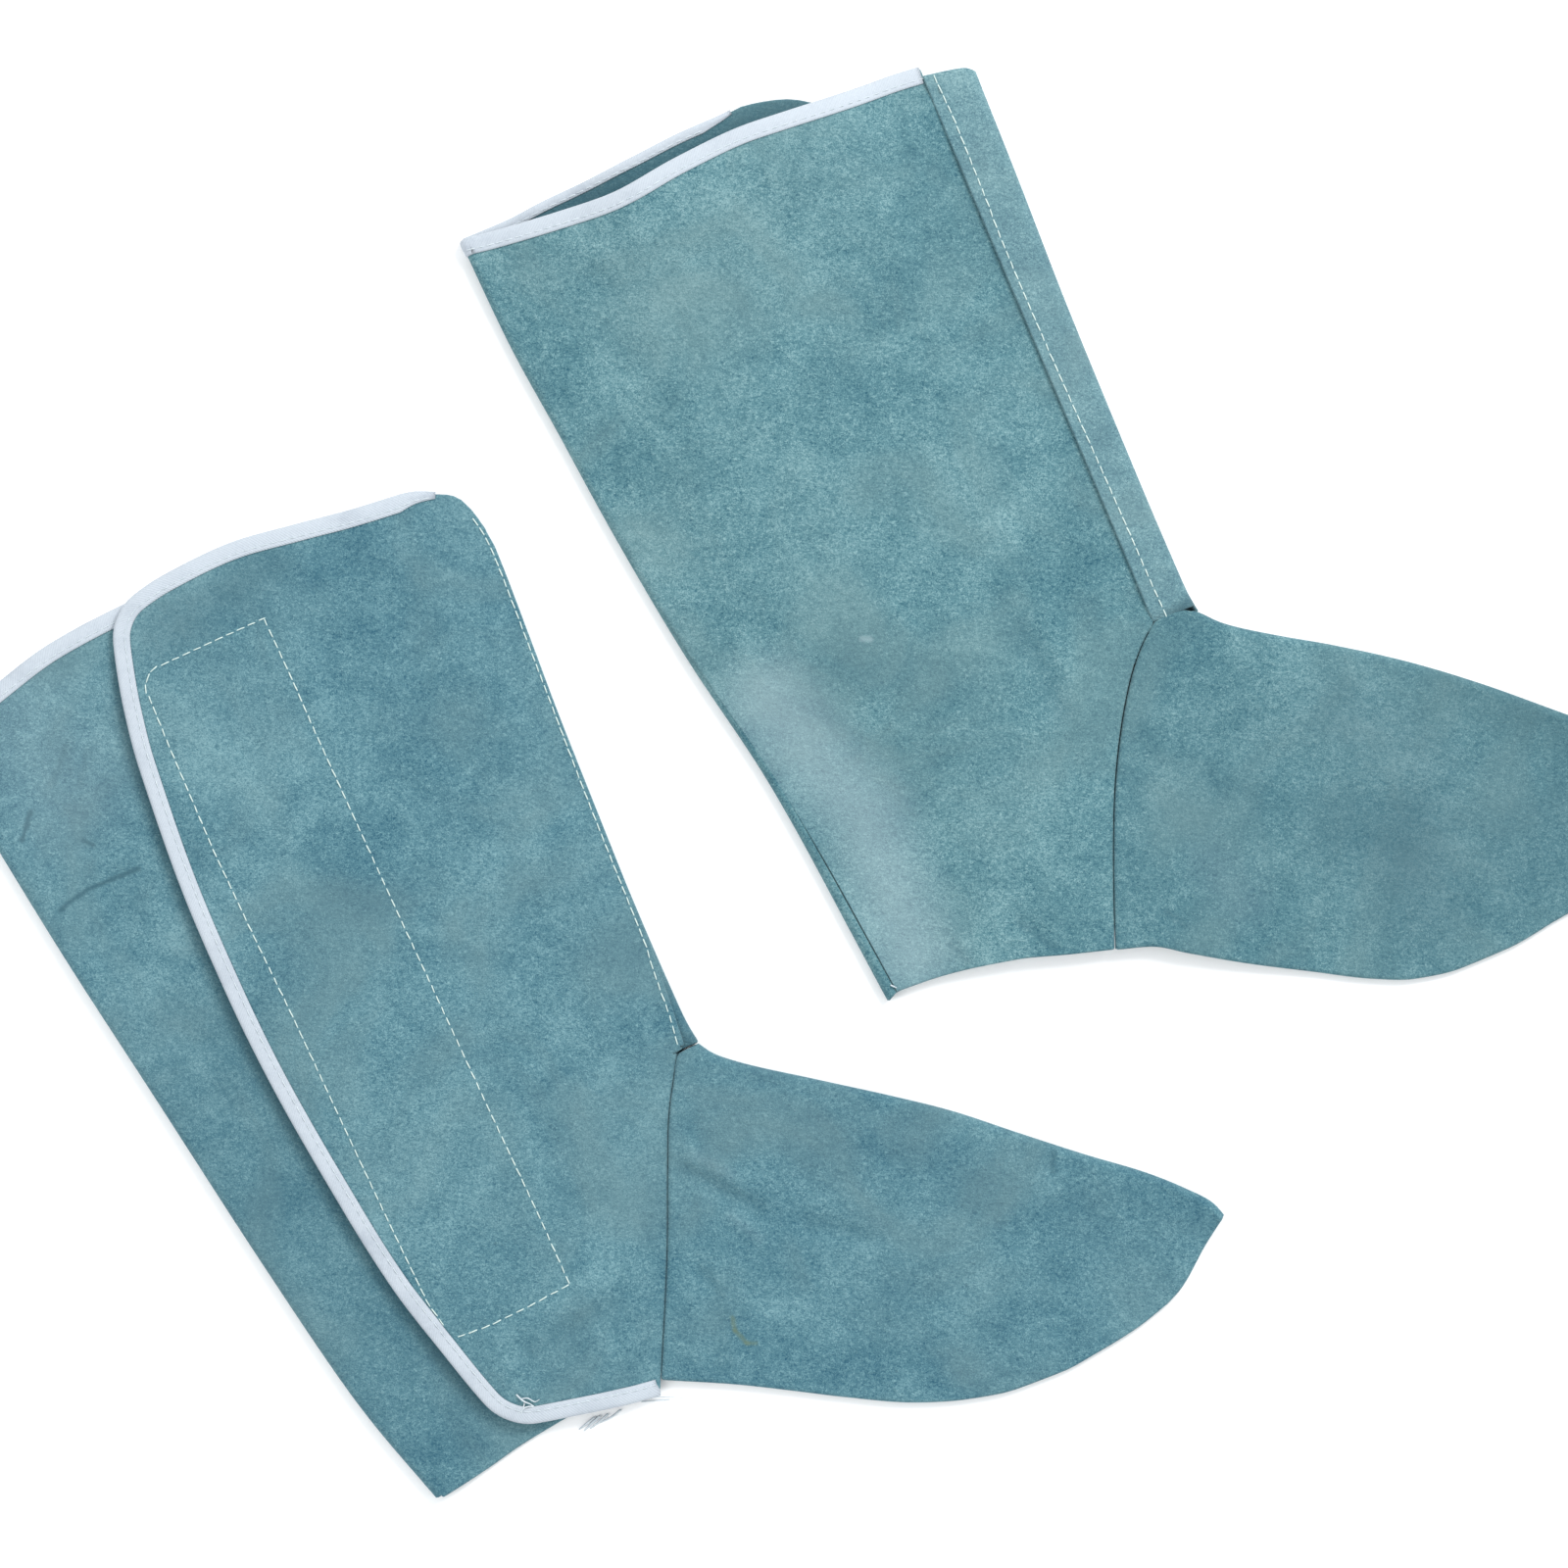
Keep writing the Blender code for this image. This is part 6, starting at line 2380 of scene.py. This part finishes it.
def right_spat(kit: Kit) -> OuterUpSpat:
    """The right foot's spat.

    Args:
        kit: the finishes and the stitch tree.

    Returns:
        The spat, not built yet.
    """
    suede = Suede(linear(77, 117, 128), linear(36, 80, 99), linear(118, 154, 161), linear(95, 123, 128), 1.0)
    # Points just outside the outer panel's front edge, along which its binding's shadow is painted.
    beside = tuple((x - 0.8, y) for y, x in RIGHT_OUTLINE.front[1:-1])
    marks = {
        "vamp": (
            Mark((61.0, -118.7), (61.4, -118.9), 1.1, -0.5),
            Mark((24.8, -138.2), (25.2, -138.2), 0.9, -0.5),
            Mark((109.2, -85.1), (106.5, -91.7), 2.2, -0.45),
            Mark((-23.2, -97.4), (-23.9, -102.2), 1.5, -0.1, 0.5),
            Mark((-23.9, -102.2), (-21.7, -108.1), 1.5, -0.1, 0.5),
            Mark((-21.7, -108.1), (-18.4, -109.5), 1.3, 0.0, 0.4),
            # Painted shade along the vamp's crease troughs, and painted highlights on two crease ridges.
            Mark((-26.8, -90.1), (-32.3, -111.2), 6.0, -0.18),
            Mark((-19.0, -40.1), (1.6, -63.2), 5.0, -0.3),
            Mark((-13.6, -36.4), (-3.8, -48.6), 4.0, 0.06),
            Mark((-9.4, -62.6), (-2.9, -74.2), 3.6, 0.05),
            Mark((16.2, -76.1), (34.7, -87.9), 4.6, -0.25),
            Mark((-27.1, -76.4), (-23.8, -87.5), 3.4, -0.22),
        ),
        "outer_panel": (
            Mark((-76.0, 224.0), (-120.0, 216.0), 18.0, -0.38),
            Mark((-93.2, -39.1), (-93.0, -39.5), 1.0, -0.5),
            # Painted shade along the trough of the flap's diagonal crease.
            Mark((-63.4, -74.9), (-94.5, -79.8), 6.0, -0.2),
        ),
        "back_panel": (
            # Painted shade in the underlap's creases.
            Trail((-163.6, 137.8), (-183.5, 137.7), 1.7, -0.8, more=((-195.6, 134.5),)),
            Mark((-192.1, 171.9), (-198.7, 163.3), 1.7, -0.85),
            Mark((-178.7, 155.2), (-175.7, 152.0), 1.6, -0.7),
            Mark((-171.5, 189.2), (-181.3, 178.4), 2.4, -0.35),
            Mark((-164.7, 184.9), (-172.0, 174.6), 2.6, -0.3),
            # Painted shadow of the outer panel's raised binding on the back panel: a broad soft band and a
            # narrow dark one.
            Trail(beside[0], beside[1], 8.0, -0.26, more=beside[2:]),
            Trail(beside[0], beside[1], 2.6, -0.4, more=beside[2:]),
            Mark((-190.0, 212.0), (-178.0, 180.0), 46.0, 0.11),
            Mark((-172.0, 60.0), (-150.0, -60.0), 70.0, -0.2),
        ),
        "inner_panel": (
            # Painted shade on the shin fold beneath the lap, near the ankle.
            Mark((0.6, 0.0), (2.4, 26.0), 7.0, -0.4),
        ),
    }
    cuts = {
        "outer_panel": Cut(0.153, 0.352, 0.0442),
        "inner_panel": Cut(0.222, 0.345, 0.0583),
        "back_panel": Cut(0.178, 0.352, 0.0462),
        "vamp": Cut(0.212, 0.215, 0.0382),
    }
    return OuterUpSpat("right", RIGHT_OUTLINE, Placement(22.1, -50.67, -100.24), kit, suede, cuts,
                       FLAP_CREASES + UNDERLAP_CREASES, RIGHT_VAMP_CREASES, CLOSURE_ROWS, marks)


def left_spat(kit: Kit) -> InnerUpSpat:
    """The left foot's spat.

    Args:
        kit: the finishes and the stitch tree.

    Returns:
        The spat, not built yet.
    """
    suede = Suede(linear(80, 120, 128), linear(36, 80, 96), linear(128, 161, 165), linear(98, 126, 129), 4.0)
    marks = {
        "inner_panel": (
            Mark((-117.5, 38.2), (-115.2, 37.2), 2.0, 0.3),
            Trail((-158.0, 30.0), (-150.0, 2.0), 27.0, 0.3, more=((-141.0, -22.0), (-144.0, -76.0))),
            # Painted shade along three crease troughs.
            Mark((-62.4, 20.5), (-58.6, -14.4), 8.0, -0.25),
            Mark((-129.7, -78.1), (-126.2, -85.7), 2.6, -0.3),
            Mark((-102.9, -80.0), (-94.6, -93.1), 3.0, -0.32),
        ),
        "outer_panel": (
            Mark((-9.0, 214.0), (-8.0, 14.0), 34.0, 0.11),
            # Painted shadow in the pocket between the strip's end and the vamp at the ankle.
            Mark((-6.0, 3.0), (-1.0, 6.0), 5.0, -0.6),
        ),
        "vamp": (
            Mark((24.0, -92.0), (38.0, -104.0), 30.0, -0.28),
            # Painted shade along a crease trough.
            Mark((-51.3, -96.5), (-46.7, -104.2), 2.8, -0.3),
            Mark((78.0, -60.0), (124.0, -98.0), 20.0, -0.3, 0.06),
            Trail((38.0, -53.0), (56.0, -80.0), 26.0, -0.26, more=((41.5, -107.0), (36.0, -130.0))),
            Mark((-29.6, -85.8), (-23.3, -103.9), 17.0, 0.07),
            Mark((40.0, -132.0), (84.0, -130.0), 46.0, -0.2),
            Mark((-10.0, -70.0), (110.0, -120.0), 120.0, -0.24),
        ),
        # Painted shade inside the open mouth, under the inner panel's raised rim.
        "back_panel": (Mark((-188.0, 226.0), (-58.0, 224.0), 22.0, -0.75),),
    }
    cuts = {
        "outer_panel": Cut(0.166, 0.335, 0.0433),
        "inner_panel": Cut(0.186, 0.335, 0.0488),
        "back_panel": Cut(0.148, 0.335, 0.0416),
        "vamp": Cut(0.222, 0.215, 0.0389),
    }
    return InnerUpSpat("left", LEFT_OUTLINE, Placement(22.0, 135.43, 58.86), kit, suede, cuts,
                       INNER_CREASES, LEFT_VAMP_CREASES, (), marks)


def main() -> None:
    """Builds the pair and the stage."""
    logging.basicConfig(level=logging.INFO, format="%(name)s: %(message)s")
    Studio().build()
    thread = Thread(linear(206, 214, 218), linear(168, 180, 188)).material("binding_thread")
    pale = Thread(linear(206, 220, 214), linear(166, 190, 188)).material("straw_thread")
    webbing = Webbing(linear(183, 191, 199), linear(152, 161, 172)).material("woven_binding")
    closure = HookAndLoop((0.02, 0.022, 0.025)).material("hook_and_loop")
    kit = Kit(webbing, thread, pale, closure, StitchTree())
    right, left = right_spat(kit), left_spat(kit)
    stands = {key: (key,) for key in ("outer_panel", "inner_panel", "back_panel", "vamp", "outer_binding",
                                      "top_binding", "hook_tape", "loop_tape")}
    for spat in (right, left):
        spat.build()
        LOG.info("%s spat: %d pieces", spat.name, len(spat.pieces))
    right.declare(stands, {"outer_panel": ("back_panel",), "back_panel": ("inner_panel",)},
                  {"outer_panel": ("outer_binding", "hook_tape", "closure_stitching", "binding_stitching",
                                   "shin_stitching", "loose_threads"),
                   "inner_panel": ("top_binding",), "back_panel": ("loop_tape",)}, {"outer_panel": "laid"})
    left.declare(stands, {"inner_panel": ("back_panel",), "back_panel": ("outer_panel",)},
                 {"outer_panel": ("outer_binding", "hook_tape", "shin_stitching"),
                  "inner_panel": ("top_binding", "binding_stitching", "loose_threads"),
                  "back_panel": ("loop_tape",)},
                 {"inner_panel": "laid"})


if __name__ == "__main__":
    main()
